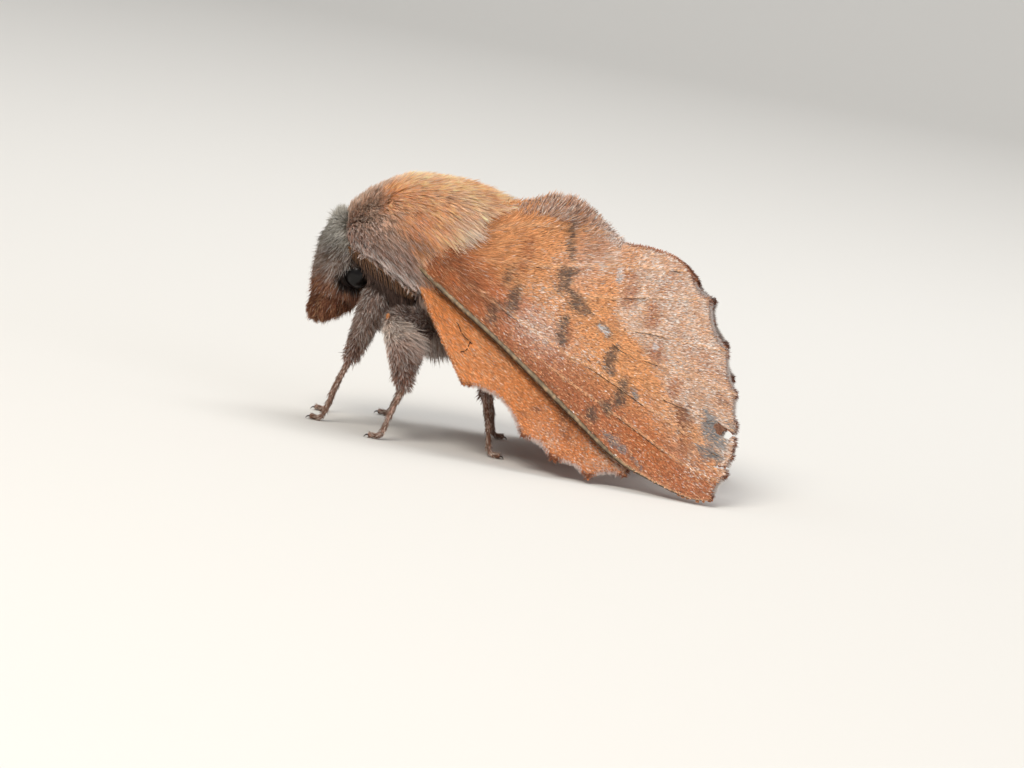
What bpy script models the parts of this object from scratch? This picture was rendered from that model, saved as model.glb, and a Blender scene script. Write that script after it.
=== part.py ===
"""A small lappet moth at rest, life size, as a museum would model it.

Metres, +Z up. The head looks along -X and the left side faces -Y. The moth stands on z = 0
on its six feet, with the tips of its roof of wings touching down behind. Every part is its
own object, and the sizes reach out to the tips of the fur and the fringes.
"""

import math

import bpy
import numpy as np

MM = 0.001  # the sizes below are in millimetres

# Clearances and thicknesses
GAP = 0.06  # air left between two neighbouring parts
WAIST_GAP = 0.1  # air left between thorax and abdomen, along x and z alike
CLOSE_POINTS = 0.04  # points this near each other along a cut become one
WING_THICKNESS = 0.5
LAYER_STEP = 0.92  # how far the hindwing lies inside the forewing, measured sideways

# Lie of the wings: distances run from the wing root along the folded wing, and up from its costa
ROOT_X, ROOT_Z = -6.46, 8.9
WING_SLOPE = math.radians(27.0)  # the folded wing falls this much towards its tip
ROOT_HALF_WIDTH = 2.9  # of the roof, at the wing roots
TIP_HALF_WIDTH = 6.85  # of the roof, at the forewing tips
SHOULDER_HALF_WIDTH = 2.45  # of the roof, at the top of the wing roots
RIDGE_HALF_WIDTH = 0.52  # where the two forewings meet
RIDGE_START = 3.8  # along the wing, from here on the inner margins meet
ROOF_CROWN = 0.4  # 0 is a straight roof, higher values arch it
TIP_REACH = 19.0  # along the wing, where the roof is TIP_HALF_WIDTH wide
ROOF_SPREAD = 0.9  # 1 widens the roof evenly towards the tip, less widens it sooner
FULL_HEIGHT_FROM = 10.6  # along the wing, from here on the roof keeps the ridge's full height
HINDWING_FLARE = 0.85  # sideways for each millimetre down, below the forewing's costa
FLARE_BEND = 0.5  # how softly the flare begins
RIGHT_LAG = 0.45  # the right forewing is folded this much further back at its tornus

# Forewing outline: (along, up)
COSTA = (
    (-0.2, 0.05), (2.6, -0.2), (6.3, -0.47), (10.6, -0.96),
    (13.7, -1.28), (15.7, -1.08), (17.6, -0.66), (18.8, -0.02),
)
INNER_MARGIN = (
    (-0.2, 2.0), (1.0, 3.4), (2.7, 5.3), (3.6, 6.65), (4.9, 7.3),
    (6.4, 7.12), (7.6, 6.8), (9.3, 7.54), (10.6, 7.92), (11.8, 7.7),
)
TERMEN_TEETH = (
    (11.8, 7.7), (13.2, 7.45), (15.4, 5.9), (16.9, 4.65), (17.8, 3.46),
    (18.23, 2.75), (18.46, 2.18), (18.75, 1.3), (18.8, -0.02),
)
# Hindwing outline: the front edge, the teeth round to the anal angle, and the root's two ends
HINDWING_TEETH = (
    (5.75, -3.12), (9.5, -3.36), (11.4, -3.34), (13.3, -3.0), (14.8, -1.9),
    (15.6, -0.2), (15.4, 1.8), (14.4, 3.7), (12.7, 5.1), (10.6, 5.8),
)
HINDWING_ROOT = ((1.2, -0.9), (1.4, 1.4))
SCALLOP = 0.14  # depth of a scallop, as a share of the distance between its teeth
FIRST_SCALLOP = 0.17  # the wide bay behind the hindwing's front corner

# Body sections, as (top x, top z, bottom x, bottom z, half width)
NECK_TOP, NECK_BOTTOM = (-10.1, 10.55), (-8.1, 6.8)
NECK_HALF_WIDTH = 1.85
# The head's front as (x, z, half width), from the crown down, and its back below the neck
HEAD_FRONT = (
    (-10.35, 10.42, 0.5), (-10.71, 9.85, 1.2), (-10.98, 9.1, 1.65), (-11.04, 8.3, 1.85),
    (-11.06, 7.5, 1.8), (-11.04, 6.85, 1.45), (-10.8, 6.25, 1.0), (-10.36, 5.9, 0.5),
)
HEAD_BACK_LOW = ((-8.46, 6.85), (-8.8, 6.25), (-9.36, 5.9))
# The trunk, from the collar back
THORAX = (
    (-9.51, 11.28, -7.95, 6.2, 2.25), (-8.64, 12.05, -7.6, 5.75, 2.55),
    (-7.36, 12.78, -6.95, 5.2, 2.75), (-5.76, 13.05, -5.75, 4.7, 2.8),
    (-4.26, 13.02, -4.6, 4.4, 2.7), (-2.96, 12.72, -3.7, 4.95, 2.45),
    (-1.96, 12.2, -3.0, 6.1, 2.0),
)
WAIST = (-1.46, 11.3, -2.36, 7.2, 1.55)
ABDOMEN = (
    (-0.36, 10.3, -1.3, 6.0, 2.05), (1.24, 9.2, 0.2, 4.9, 2.15), (2.84, 8.0, 1.8, 4.0, 1.95),
    (4.24, 6.8, 3.3, 3.4, 1.55), (5.44, 5.7, 4.7, 3.15, 1.05), (6.2, 4.8, 5.8, 3.5, 0.5),
)
SHOULDER = 0.3  # how much wider the thorax is above its middle than below

# Eyes
EYE_CENTRE = (-8.98, 1.2, 7.42)
EYE_RADIUS = 0.68

# Limbs as paths: (x, outward, z) with half sizes (front to back, side to side)
PALP = (
    (-9.5, 0.55, 6.6, 0.66, 0.46), (-10.0, 0.56, 6.1, 0.74, 0.5),
    (-10.45, 0.52, 5.6, 0.58, 0.44), (-10.68, 0.46, 5.15, 0.26, 0.26),
)
ANTENNA = (
    (-9.66, 1.5, 8.62, 0.26, 0.25), (-9.1, 2.0, 8.35, 0.42, 0.26), (-8.3, 2.45, 7.95, 0.52, 0.27),
    (-7.3, 2.75, 7.52, 0.5, 0.27), (-6.5, 2.9, 7.17, 0.42, 0.26), (-5.9, 2.95, 6.95, 0.28, 0.25),
)
LEGS = {
    "fore": (
        (-7.6, 1.4, 7.3, 0.6, 0.5), (-7.85, 1.8, 6.4, 0.74, 0.55),
        (-8.05, 1.95, 5.3, 0.6, 0.52), (-8.3, 2.0, 4.2, 0.42, 0.4), (-8.5, 1.95, 3.3, 0.28, 0.28),
    ),
    "mid": (
        (-4.7, 1.4, 5.7, 0.75, 0.6), (-5.7, 2.5, 5.8, 0.75, 0.65), (-6.6, 3.3, 5.75, 0.52, 0.5),
        (-6.15, 3.75, 4.9, 0.85, 0.55), (-5.8, 3.95, 3.7, 0.62, 0.45), (-5.55, 4.1, 2.7, 0.28, 0.28),
    ),
    "hind": (
        (-3.5, 1.2, 6.3, 0.6, 0.5), (-2.5, 1.8, 6.1, 0.6, 0.5), (-1.6, 2.35, 5.4, 0.45, 0.42),
        (-1.45, 2.75, 4.3, 0.5, 0.4), (-1.6, 3.1, 2.95, 0.26, 0.26),
    ),
}
FEET = {
    "fore": ((-8.62, 1.93, 3.15), (-9.0, 1.85, 1.7), (-9.35, 1.8, 0.3), (-9.95, 1.8, 0.13)),
    "mid": ((-5.6, 4.15, 2.52), (-5.95, 4.35, 1.4), (-6.25, 4.5, 0.3), (-6.85, 4.55, 0.13)),
    "hind": ((-1.52, 3.14, 2.76), (-1.15, 3.35, 1.5), (-0.85, 3.5, 0.3), (-0.3, 3.6, 0.13)),
}
FOOT_RADII = (0.2, 0.23, 0.25, 0.25)
GROUND_SIZE = (40.0, 30.0, 2.0)  # the slab that cuts the feet and wing tips level

# Fineness of the solids: (rings, sides) of the lofts, and steps across the wings
HEAD_GRID, THORAX_GRID, ABDOMEN_GRID = (13, 16), (15, 18), (13, 16)
PALP_GRID, ANTENNA_GRID, LEG_GRID, FOOT_GRID = (9, 10), (14, 8), (12, 8), (8, 6)
EYE_SEGMENTS, EYE_RINGS = 14, 8
LINE_STEPS = 60  # of the costa and the ridge, where the roof's shape is read
FOREWING_STEPS = 16  # from root to outer margin
HINDWING_STEPS = 7
SCALLOP_STEPS = 3  # from one tooth to the next
SHARP_ANGLE = math.radians(50)  # edges bent more than this stay sharp

# Colours, linear
RUST = (0.48, 0.15, 0.05)
BUFF = (0.52, 0.24, 0.11)
GREY_BROWN = (0.2, 0.13, 0.095)
DARK = (0.012, 0.008, 0.007)
SHIN = (0.17, 0.06, 0.03)


# --- shape helpers -----------------------------------------------------------------------------


def smooth_path(points, count):
    """A Catmull-Rom curve through the points, read at count even steps of the points' own spacing."""
    points = np.asarray(points, float)
    ends = np.vstack([2 * points[0] - points[1], points, 2 * points[-1] - points[-2]])
    where = np.linspace(0, len(points) - 1, count)
    first = np.minimum(where.astype(int), len(points) - 2)
    t = (where - first)[:, None]
    before, start, end, after = (ends[first + k] for k in range(4))
    return 0.5 * (
        2 * start
        + (end - before) * t
        + (2 * before - 5 * start + 4 * end - after) * t**2
        + (3 * start - before - 3 * end + after) * t**3
    )


def scalloped(teeth, depths, steps):
    """The margin through the teeth, sagging inwards between each two, inwards being to the left."""
    margin = []
    for tooth, following, depth in zip(teeth, teeth[1:], depths):
        start, run = np.array(tooth), np.subtract(following, tooth)
        inwards = np.array([-run[1], run[0]]) * depth
        for k in range(steps):
            share = k / steps
            margin.append(start + run * share + inwards * 4 * share * (1 - share))
    return np.array(margin + [np.array(teeth[-1])])


def smoothstep(value):
    """Eases from 0 to 1 as the value goes from 0 to 1."""
    value = np.clip(value, 0.0, 1.0)
    return value * value * (3 - 2 * value)


def patch(bottom, top, left, right):
    """A Coons patch: a grid of points that fills the space between four edges."""
    u = np.linspace(0, 1, len(bottom))[:, None, None]
    v = np.linspace(0, 1, len(left))[None, :, None]
    ruled = (1 - v) * bottom[:, None] + v * top[:, None] + (1 - u) * left[None] + u * right[None]
    corners = (1 - u) * ((1 - v) * bottom[0] + v * top[0]) + u * ((1 - v) * bottom[-1] + v * top[-1])
    return ruled - corners


# --- wings: from the flat outline to the roof --------------------------------------------------


COSTA_LINE = smooth_path(COSTA, LINE_STEPS)
RIDGE_LINE = smooth_path(INNER_MARGIN, LINE_STEPS)
RIDGE_TOP = max(height for _, height in INNER_MARGIN)


def roof_half_width(along, up):
    """How far out from the middle the folded forewing's outer face lies."""
    spread = np.maximum(along / TIP_REACH, 0) ** ROOF_SPREAD
    low = ROOT_HALF_WIDTH + (TIP_HALF_WIDTH - ROOT_HALF_WIDTH) * spread
    meet = smoothstep(along / RIDGE_START)
    ridge = SHOULDER_HALF_WIDTH + (RIDGE_HALF_WIDTH - SHOULDER_HALF_WIDTH) * meet
    height = np.interp(along, RIDGE_LINE[:, 0], RIDGE_LINE[:, 1])
    height = np.where(along > FULL_HEIGHT_FROM, RIDGE_TOP, height)
    share = up / height
    return ridge + (low - ridge) * (1 - share) * (1 + ROOF_CROWN * share)


def hindwing_half_width(along, up):
    """The hindwing lies inside the forewing, and flares out below the forewing's costa."""
    drop = np.interp(along, COSTA_LINE[:, 0], COSTA_LINE[:, 1]) - up
    below = (drop + np.sqrt(drop**2 + FLARE_BEND**2)) / 2
    return roof_half_width(along, up + below) - LAYER_STEP + HINDWING_FLARE * below


def in_space(grid, half_width, side):
    """Places a flat wing grid on the roof. side is -1 for the left wing and 1 for the right."""
    along, up = grid[..., 0], grid[..., 1]
    x = ROOT_X + along * math.cos(WING_SLOPE) + up * math.sin(WING_SLOPE)
    z = ROOT_Z - along * math.sin(WING_SLOPE) + up * math.cos(WING_SLOPE)
    return np.stack([x, side * half_width(along, up), z], -1)


def forewing_grid(side):
    """The flat forewing between its costa, inner margin, root and scalloped outer margin."""
    depths = [-SCALLOP] * (len(TERMEN_TEETH) - 1)
    termen = scalloped(TERMEN_TEETH, depths, SCALLOP_STEPS)[::-1]
    root = np.linspace(COSTA[0], INNER_MARGIN[0], len(termen))
    costa, ridge = (smooth_path(edge, FOREWING_STEPS) for edge in (COSTA, INNER_MARGIN))
    grid = patch(costa, ridge, root, termen)
    if side > 0:
        grid[..., 0] += RIGHT_LAG * (np.maximum(grid[..., 1], 0) / RIDGE_TOP) ** 3
    return grid


def hindwing_grid():
    """The flat hindwing, ruled from its root to its scalloped margin."""
    depths = [FIRST_SCALLOP] + [SCALLOP] * (len(HINDWING_TEETH) - 2)
    margin = scalloped(HINDWING_TEETH, depths, SCALLOP_STEPS)
    root = np.linspace(HINDWING_ROOT[0], HINDWING_ROOT[1], len(margin))
    reach = np.linspace(0, 1, HINDWING_STEPS)[:, None, None]
    return root[None] + (margin - root)[None] * reach


# --- Blender helpers ---------------------------------------------------------------------------


def clear_scene():
    """Removes what the scene held before."""
    for obj in list(bpy.data.objects):
        bpy.data.objects.remove(obj, do_unlink=True)


def new_collection(name):
    """A new collection in the scene."""
    collection = bpy.data.collections.new(name)
    bpy.context.scene.collection.children.link(collection)
    return collection


def material(name, colour, roughness):
    """A plain material of one colour, without metal."""
    made = bpy.data.materials.new(name)
    made.use_nodes = True
    shader = made.node_tree.nodes["Principled BSDF"]
    shader.inputs["Base Color"].default_value = (*colour, 1)
    shader.inputs["Roughness"].default_value = roughness
    shader.inputs["Metallic"].default_value = 0.0
    return made


def mesh_object(name, points, faces, look):
    """A smooth-shaded part of the moth from points in millimetres."""
    mesh = bpy.data.meshes.new(name)
    mesh.from_pydata([tuple(point * MM) for point in points], [], faces)
    mesh.update()
    mesh.materials.append(look)
    mesh.shade_smooth()
    mesh.set_sharp_from_angle(angle=SHARP_ANGLE)
    obj = bpy.data.objects.new(name, mesh)
    PARTS.objects.link(obj)
    obj.parent = MOTH
    return obj


def loft(rings):
    """Points and faces of a closed form through rings of equal length, capped at both ends."""
    count, sides = len(rings), len(rings[0])
    faces = [tuple(range(sides))[::-1], tuple(range((count - 1) * sides, count * sides))]
    for ring in range(count - 1):
        for side in range(sides):
            corner, following = ring * sides + side, ring * sides + (side + 1) % sides
            faces.append((corner, following, following + sides, corner + sides))
    return np.concatenate(rings), faces


def sagittal_rings(sections, shoulder, sides):
    """Rings round the midline, each from a (top x, top z, bottom x, bottom z, half width) section."""
    rings = []
    angles = np.linspace(0, 2 * math.pi, sides, endpoint=False)
    for top_x, top_z, bottom_x, bottom_z, half_width in sections:
        lift = np.cos(angles)
        width = half_width * np.sin(angles) * (1 + shoulder * lift)
        x = (top_x + bottom_x) / 2 + (top_x - bottom_x) / 2 * lift
        z = (top_z + bottom_z) / 2 + (top_z - bottom_z) / 2 * lift
        rings.append(np.stack([x, width, z], -1))
    return rings


def limb_rings(path, side, sides):
    """Rings round a path of (x, outward, z, half depth, half width) stations, square to the path."""
    path = np.asarray(path, float)
    centres = path[:, :3] * (1, side, 1)
    along = np.gradient(centres, axis=0)
    along /= np.linalg.norm(along, axis=1)[:, None]
    across = np.array([0.0, 1.0, 0.0]) - along * along[:, 1:2]
    across /= np.linalg.norm(across, axis=1)[:, None]
    forward = np.cross(across, along)
    angles = np.linspace(0, 2 * math.pi, sides, endpoint=False)
    rings = []
    for centre, ahead, out, depth, width in zip(centres, forward, across, path[:, 3], path[:, 4]):
        rings.append(
            centre + np.outer(np.cos(angles) * depth, ahead) + np.outer(np.sin(angles) * width, out)
        )
    return rings


def outward_faces(points, faces):
    """Turns all faces round if the closed form they make is inside out."""
    volume = 0.0
    for face in faces:
        for second, third in zip(face[1:], face[2:]):
            volume += np.dot(points[face[0]], np.cross(points[second], points[third]))
    return faces if volume > 0 else [face[::-1] for face in faces]


def lofted(name, rings, look):
    """A closed part drawn over rings."""
    points, faces = loft(rings)
    return mesh_object(name, points, outward_faces(points, faces), look)


def wing(name, grid, half_width, side, look):
    """An open sheet on the roof, thickened inwards."""
    points = in_space(grid, half_width, side)
    rows, columns = points.shape[:2]
    faces = []
    for row in range(rows - 1):
        for column in range(columns - 1):
            corner = row * columns + column
            face = (corner, corner + columns, corner + columns + 1, corner + 1)
            faces.append(face if side < 0 else face[::-1])
    obj = mesh_object(name, points.reshape(-1, 3), faces, look)
    thick = obj.modifiers.new("Thickness", "SOLIDIFY")
    thick.thickness = WING_THICKNESS * MM
    thick.offset = -1.0
    return obj


def cutter_round(obj):
    """A copy of a part, grown by the gap, that cuts its neighbours."""
    grown = obj.copy()
    grown.name = obj.name + "_clearance"
    CUTTERS.objects.link(grown)
    swell = grown.modifiers.new("Gap", "DISPLACE")
    swell.strength = GAP * MM
    swell.mid_level = 0.0
    return hide(grown)


def hide(cutter):
    """Marks a helper that only cuts and isn't a part."""
    cutter.hide_render = True
    cutter.display_type = "WIRE"
    return cutter


def cut(obj, *cutters):
    """Cuts a part clear of others, and joins the points that the cuts leave close together."""
    for cutter in cutters:
        gap = obj.modifiers.new("Clear of " + cutter.name, "BOOLEAN")
        gap.operation = "DIFFERENCE"
        gap.object = cutter
        gap.solver = "EXACT"
    tidy = obj.modifiers.new("Join close points", "WELD")
    tidy.merge_threshold = CLOSE_POINTS * MM


# --- the parts ---------------------------------------------------------------------------------


def body_parts():
    """Head, thorax and abdomen, with flat faces at the neck and the waist."""
    neck = np.array(NECK_TOP), np.array(NECK_BOTTOM)
    head_sections = []
    for index, (x, z, half_width) in enumerate(HEAD_FRONT):
        low = index - (len(HEAD_FRONT) - len(HEAD_BACK_LOW))
        if low >= 0:
            back = HEAD_BACK_LOW[low]
        else:
            share = (neck[0][1] - z) / (neck[0][1] - neck[1][1])
            back = (neck[0][0] + share * (neck[1][0] - neck[0][0]) - GAP, z)
        head_sections.append((x, z, *back, half_width))
    collar = (*NECK_TOP, *NECK_BOTTOM, NECK_HALF_WIDTH)
    behind = np.add(WAIST, (WAIST_GAP, 0, WAIST_GAP, 0, 0))
    return (
        trunk_part("head", head_sections, 0.0, HEAD_GRID, FUR_GREY),
        trunk_part("thorax", (collar, *THORAX, WAIST), SHOULDER, THORAX_GRID, FUR_BUFF),
        trunk_part("abdomen", (behind, *ABDOMEN), 0.0, ABDOMEN_GRID, FUR_BUFF),
    )


def trunk_part(name, sections, shoulder, grid, look):
    """A part drawn over sections round the midline."""
    rings, sides = grid
    return lofted(name, sagittal_rings(smooth_path(sections, rings), shoulder, sides), look)


def eye(name, side):
    """A ball that bulges from the side of the head."""
    x, out, z = EYE_CENTRE
    bpy.ops.mesh.primitive_uv_sphere_add(
        segments=EYE_SEGMENTS, ring_count=EYE_RINGS, radius=EYE_RADIUS * MM,
        location=(x * MM, side * out * MM, z * MM),
    )
    ball = bpy.context.object
    ball.name = name
    ball.data.materials.append(EYE_BLACK)
    ball.data.shade_smooth()
    move_to(ball, PARTS)
    ball.parent = MOTH
    return ball


def move_to(obj, collection):
    """Takes an object out of the collections it is in and into this one."""
    for holder in list(obj.users_collection):
        holder.objects.unlink(obj)
    collection.objects.link(obj)


def limb(name, path, side, grid, look):
    """A leg, foot, palp or antenna drawn along its path."""
    rings, sides = grid
    return lofted(name, limb_rings(smooth_path(path, rings), side, sides), look)


def foot_path(name):
    """A foot's path with its thickness at each point."""
    return [(*point, radius, radius) for point, radius in zip(FEET[name], FOOT_RADII)]


def ground_cutter():
    """A slab under the floor: what it cuts off leaves small flats at z = 0."""
    bpy.ops.mesh.primitive_cube_add(size=1, location=(0, 0, -GROUND_SIZE[2] / 2 * MM))
    slab = bpy.context.object
    slab.name = "ground"
    slab.scale = [size * MM for size in GROUND_SIZE]
    move_to(slab, CUTTERS)
    return hide(slab)


def one_side(suffix, side, head_room, thorax_room, abdomen_room, ground):
    """The paired parts of one side. Returns the cutters that make room for them in the body."""
    ball = eye("eye" + suffix, side)
    antenna = limb("antenna" + suffix, ANTENNA, side, ANTENNA_GRID, ANTENNA_COMB)
    eye_room, antenna_room = cutter_round(ball), cutter_round(antenna)
    palp = limb("palp" + suffix, PALP, side, PALP_GRID, FUR_GREY)
    cut(palp, head_room)
    for place in LEGS:
        leg = limb(f"leg_{place}{suffix}", LEGS[place], side, LEG_GRID, LEG_FUR)
        cut(leg, thorax_room, abdomen_room, antenna_room)
        foot = limb(f"foot_{place}{suffix}", foot_path(place), side, FOOT_GRID, SHIN_CHITIN)
        cut(foot, ground)
    forewing = wing("forewing" + suffix, forewing_grid(side), roof_half_width, side, FOREWING_SCALES)
    hindwing = wing("hindwing" + suffix, hindwing_grid(), hindwing_half_width, side, HINDWING_SCALES)
    cut(forewing, thorax_room, ground)
    cut(hindwing, thorax_room, abdomen_room, ground)
    return eye_room, antenna_room


clear_scene()
PARTS = new_collection("lappet_moth")
CUTTERS = new_collection("cutters")
MOTH = bpy.data.objects.new("moth_origin", None)
PARTS.objects.link(MOTH)

FUR_GREY = material("fur_grey", GREY_BROWN, 0.9)
FUR_BUFF = material("fur_buff", BUFF, 0.9)
LEG_FUR = material("leg_fur", GREY_BROWN, 0.9)
SHIN_CHITIN = material("shin_chitin", SHIN, 0.5)
EYE_BLACK = material("eye_black", DARK, 0.15)
FOREWING_SCALES = material("forewing_scales", RUST, 0.8)
HINDWING_SCALES = material("hindwing_scales", RUST, 0.8)
ANTENNA_COMB = material("antenna_comb", SHIN, 0.6)

ground = ground_cutter()
head, thorax, abdomen = body_parts()
rooms = [cutter_round(part) for part in (head, thorax, abdomen)]
side_rooms = [*one_side("_l", -1, *rooms, ground), *one_side("_r", 1, *rooms, ground)]
cut(head, *side_rooms)
cut(thorax, *side_rooms)
bpy.context.view_layer.update()
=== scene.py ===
"""A small lappet moth at rest, life size: its skin, fur, wing scales, combed antennae and feet.

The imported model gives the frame. Sizes in the code are in millimetres unless a property says
otherwise, and turn to metres where a mesh is made. The head looks along -X, the left side is -Y.
"""

import itertools
import math
from functools import partial

import bpy
import numpy as np
from bpy.props import FloatProperty, FloatVectorProperty, IntProperty, PointerProperty
from mathutils import Matrix, Vector
from mathutils.geometry import delaunay_2d_cdt
from mathutils.kdtree import KDTree


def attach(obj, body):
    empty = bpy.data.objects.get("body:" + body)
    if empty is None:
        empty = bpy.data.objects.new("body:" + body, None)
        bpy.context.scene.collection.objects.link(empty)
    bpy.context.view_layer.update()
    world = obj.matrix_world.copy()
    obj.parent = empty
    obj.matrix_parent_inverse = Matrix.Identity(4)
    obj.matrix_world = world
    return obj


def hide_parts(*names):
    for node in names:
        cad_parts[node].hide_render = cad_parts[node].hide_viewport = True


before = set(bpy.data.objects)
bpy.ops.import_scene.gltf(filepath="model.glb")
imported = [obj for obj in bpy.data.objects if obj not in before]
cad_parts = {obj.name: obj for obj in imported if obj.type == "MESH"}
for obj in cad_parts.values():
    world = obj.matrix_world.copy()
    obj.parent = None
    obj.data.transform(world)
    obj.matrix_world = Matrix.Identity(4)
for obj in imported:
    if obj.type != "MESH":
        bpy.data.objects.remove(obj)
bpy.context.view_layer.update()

bl_info = {
    "name": "Lappet moth",
    "version": (1, 0, 0),
    "blender": (4, 5, 0),
    "location": "3D View > Sidebar > Moth",
    "description": "Builds a small lappet moth at rest, with its fur, scales and antennae",
    "category": "Add Mesh",
}

MM = 0.001
SIDES = (("left", "_l", -1), ("right", "_r", 1))

# --- the moth's form, as its solids have it ---

ROOT_X, ROOT_Z = -6.46, 8.9  # where the wings leave the thorax
WING_SLOPE = math.radians(27.0)
ROOT_HALF_WIDTH, TIP_HALF_WIDTH = 2.9, 6.85
SHOULDER_HALF_WIDTH, RIDGE_HALF_WIDTH = 2.45, 0.52
RIDGE_START, TIP_REACH, ROOF_CROWN, ROOF_SPREAD = 3.8, 19.0, 0.4, 0.9
FULL_HEIGHT_FROM = 10.6
LAYER_STEP, HINDWING_FLARE, FLARE_BEND = 0.92, 0.85, 0.5
RIGHT_LAG = 0.45
SCALLOP, FIRST_SCALLOP = 0.14, 0.17

COSTA = (
    (-0.2, 0.05), (2.6, -0.2), (6.3, -0.47), (10.6, -0.96),
    (13.7, -1.28), (15.7, -1.08), (17.6, -0.66), (18.8, -0.02),
)
INNER_MARGIN = (
    (-0.2, 2.0), (1.0, 3.4), (2.7, 5.3), (3.6, 6.65), (4.9, 7.3),
    (6.4, 7.12), (7.6, 6.8), (9.3, 7.54), (10.6, 7.92), (11.8, 7.7),
)
TERMEN_TEETH = (
    (11.8, 7.7), (13.2, 7.45), (15.4, 5.9), (16.9, 4.65), (17.8, 3.46),
    (18.23, 2.75), (18.46, 2.18), (18.75, 1.3), (18.8, -0.02),
)
HINDWING_TEETH = (
    (5.75, -3.12), (9.5, -3.36), (11.4, -3.34), (13.3, -3.0), (14.8, -1.9),
    (15.6, -0.2), (15.4, 1.8), (14.4, 3.7), (12.7, 5.1), (10.6, 5.8),
)
HINDWING_ROOT = ((1.2, -0.9), (1.4, 1.4))

# Body sections: (front or top x, z), (back or bottom x, z), half width
HEAD = (
    (-10.35, 10.42, -9.0, 10.42, 0.5), (-10.71, 9.85, -8.6, 9.85, 1.2),
    (-10.98, 9.1, -8.2, 9.1, 1.65), (-11.04, 8.3, -7.9, 8.3, 1.85),
    (-11.06, 7.5, -7.7, 7.5, 1.8), (-11.04, 6.85, -8.3, 6.85, 1.45),
    (-10.8, 6.25, -8.7, 6.25, 1.0), (-10.36, 5.9, -9.36, 5.9, 0.5),
)
TRUNK = (
    (-10.1, 10.55, -8.1, 6.8, 1.85), (-9.51, 11.28, -7.95, 6.2, 2.25),
    (-8.64, 12.05, -7.6, 5.75, 2.55), (-7.36, 12.78, -6.95, 5.2, 2.75),
    (-5.76, 13.05, -5.75, 4.7, 2.8), (-4.26, 13.02, -4.6, 4.4, 2.7),
    (-2.96, 12.72, -3.7, 4.95, 2.45), (-1.96, 12.2, -3.0, 6.1, 2.0),
    (-1.46, 11.3, -2.36, 7.2, 1.55),
)
ABDOMEN = (
    (-1.9, 11.0, -2.6, 7.0, 1.5), (-0.36, 10.3, -1.3, 6.0, 2.05), (1.24, 9.2, 0.2, 4.9, 2.15),
    (2.84, 8.0, 1.8, 4.0, 1.95), (4.24, 6.8, 3.3, 3.4, 1.55), (5.44, 5.7, 4.7, 3.15, 1.05),
    (6.2, 4.8, 5.8, 3.5, 0.5),
)
SHOULDER = 0.3
EYE_CENTRE, EYE_RADIUS = (-8.98, 1.2, 7.42), 0.68

# Limbs: (x, outward, z) and half sizes (front to back, side to side)
PALP = (
    (-9.5, 0.55, 6.6, 0.66, 0.46), (-10.0, 0.56, 6.1, 0.74, 0.5),
    (-10.45, 0.52, 5.6, 0.58, 0.44), (-10.68, 0.46, 5.15, 0.26, 0.26),
)
ANTENNA = (
    (-9.66, 1.5, 8.62, 0.26, 0.25), (-9.1, 2.0, 8.35, 0.42, 0.26), (-8.3, 2.45, 7.95, 0.52, 0.27),
    (-7.3, 2.75, 7.52, 0.5, 0.27), (-6.5, 2.9, 7.17, 0.42, 0.26), (-5.9, 2.95, 6.95, 0.28, 0.25),
)
LEGS = {
    "fore": (
        (-7.6, 1.4, 7.3, 0.6, 0.5), (-7.85, 1.8, 6.4, 0.74, 0.55),
        (-8.05, 1.95, 5.3, 0.6, 0.52), (-8.3, 2.0, 4.2, 0.42, 0.4), (-8.5, 1.95, 3.3, 0.28, 0.28),
    ),
    "mid": (
        (-4.7, 1.4, 5.7, 0.75, 0.6), (-5.7, 2.5, 5.8, 0.75, 0.65), (-6.6, 3.3, 5.75, 0.52, 0.5),
        (-6.15, 3.75, 4.9, 0.85, 0.55), (-5.8, 3.95, 3.7, 0.62, 0.45),
        (-5.55, 4.1, 2.7, 0.28, 0.28),
    ),
    "hind": (
        (-3.5, 1.2, 6.3, 0.6, 0.5), (-2.5, 1.8, 6.1, 0.6, 0.5), (-1.6, 2.35, 5.4, 0.45, 0.42),
        (-1.45, 2.75, 4.3, 0.5, 0.4), (-1.6, 3.1, 2.95, 0.26, 0.26),
    ),
}
FEET = {
    "fore": ((-8.5, 1.95, 3.3), (-9.0, 1.85, 1.7), (-9.35, 1.8, 0.3), (-9.95, 1.8, 0.15)),
    "mid": ((-5.55, 4.1, 2.7), (-5.95, 4.35, 1.4), (-6.25, 4.5, 0.3), (-6.85, 4.55, 0.15)),
    "hind": ((-1.6, 3.1, 2.95), (-1.15, 3.35, 1.5), (-0.85, 3.5, 0.3), (-0.3, 3.6, 0.15)),
}

# --- what the wings carry ---

# Veins of the forewing, as (along, up)
VEINS = (
    ((0.3, 0.9), (3.0, 2.2), (5.4, 3.6), (8.2, 5.7), (10.2, 6.95), (11.2, 7.5)),
    ((3.0, 2.2), (6.95, 3.14), (8.6, 4.15), (10.4, 5.45), (11.9, 6.45), (12.95, 7.2)),
    ((6.95, 3.14), (9.4, 3.16), (11.6, 4.28), (14.0, 5.27), (15.1, 5.8)),
    ((9.4, 3.16), (10.9, 2.86), (12.9, 3.39), (15.6, 4.14), (16.8, 4.5)),
    ((10.9, 2.6), (13.5, 2.25), (15.9, 2.74), (17.6, 3.05)),
    ((0.3, 0.6), (4.0, 0.85), (8.55, 1.07), (10.2, 1.32), (13.4, 1.5), (17.0, 1.68), (18.3, 2.0)),
    ((5.0, 0.15), (9.3, 0.14), (12.8, 0.31), (16.4, 0.44), (18.6, 0.85)),
    ((0.3, 1.3), (1.8, 3.0), (3.6, 4.6), (5.6, 5.9), (7.0, 6.5)),
)
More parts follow.
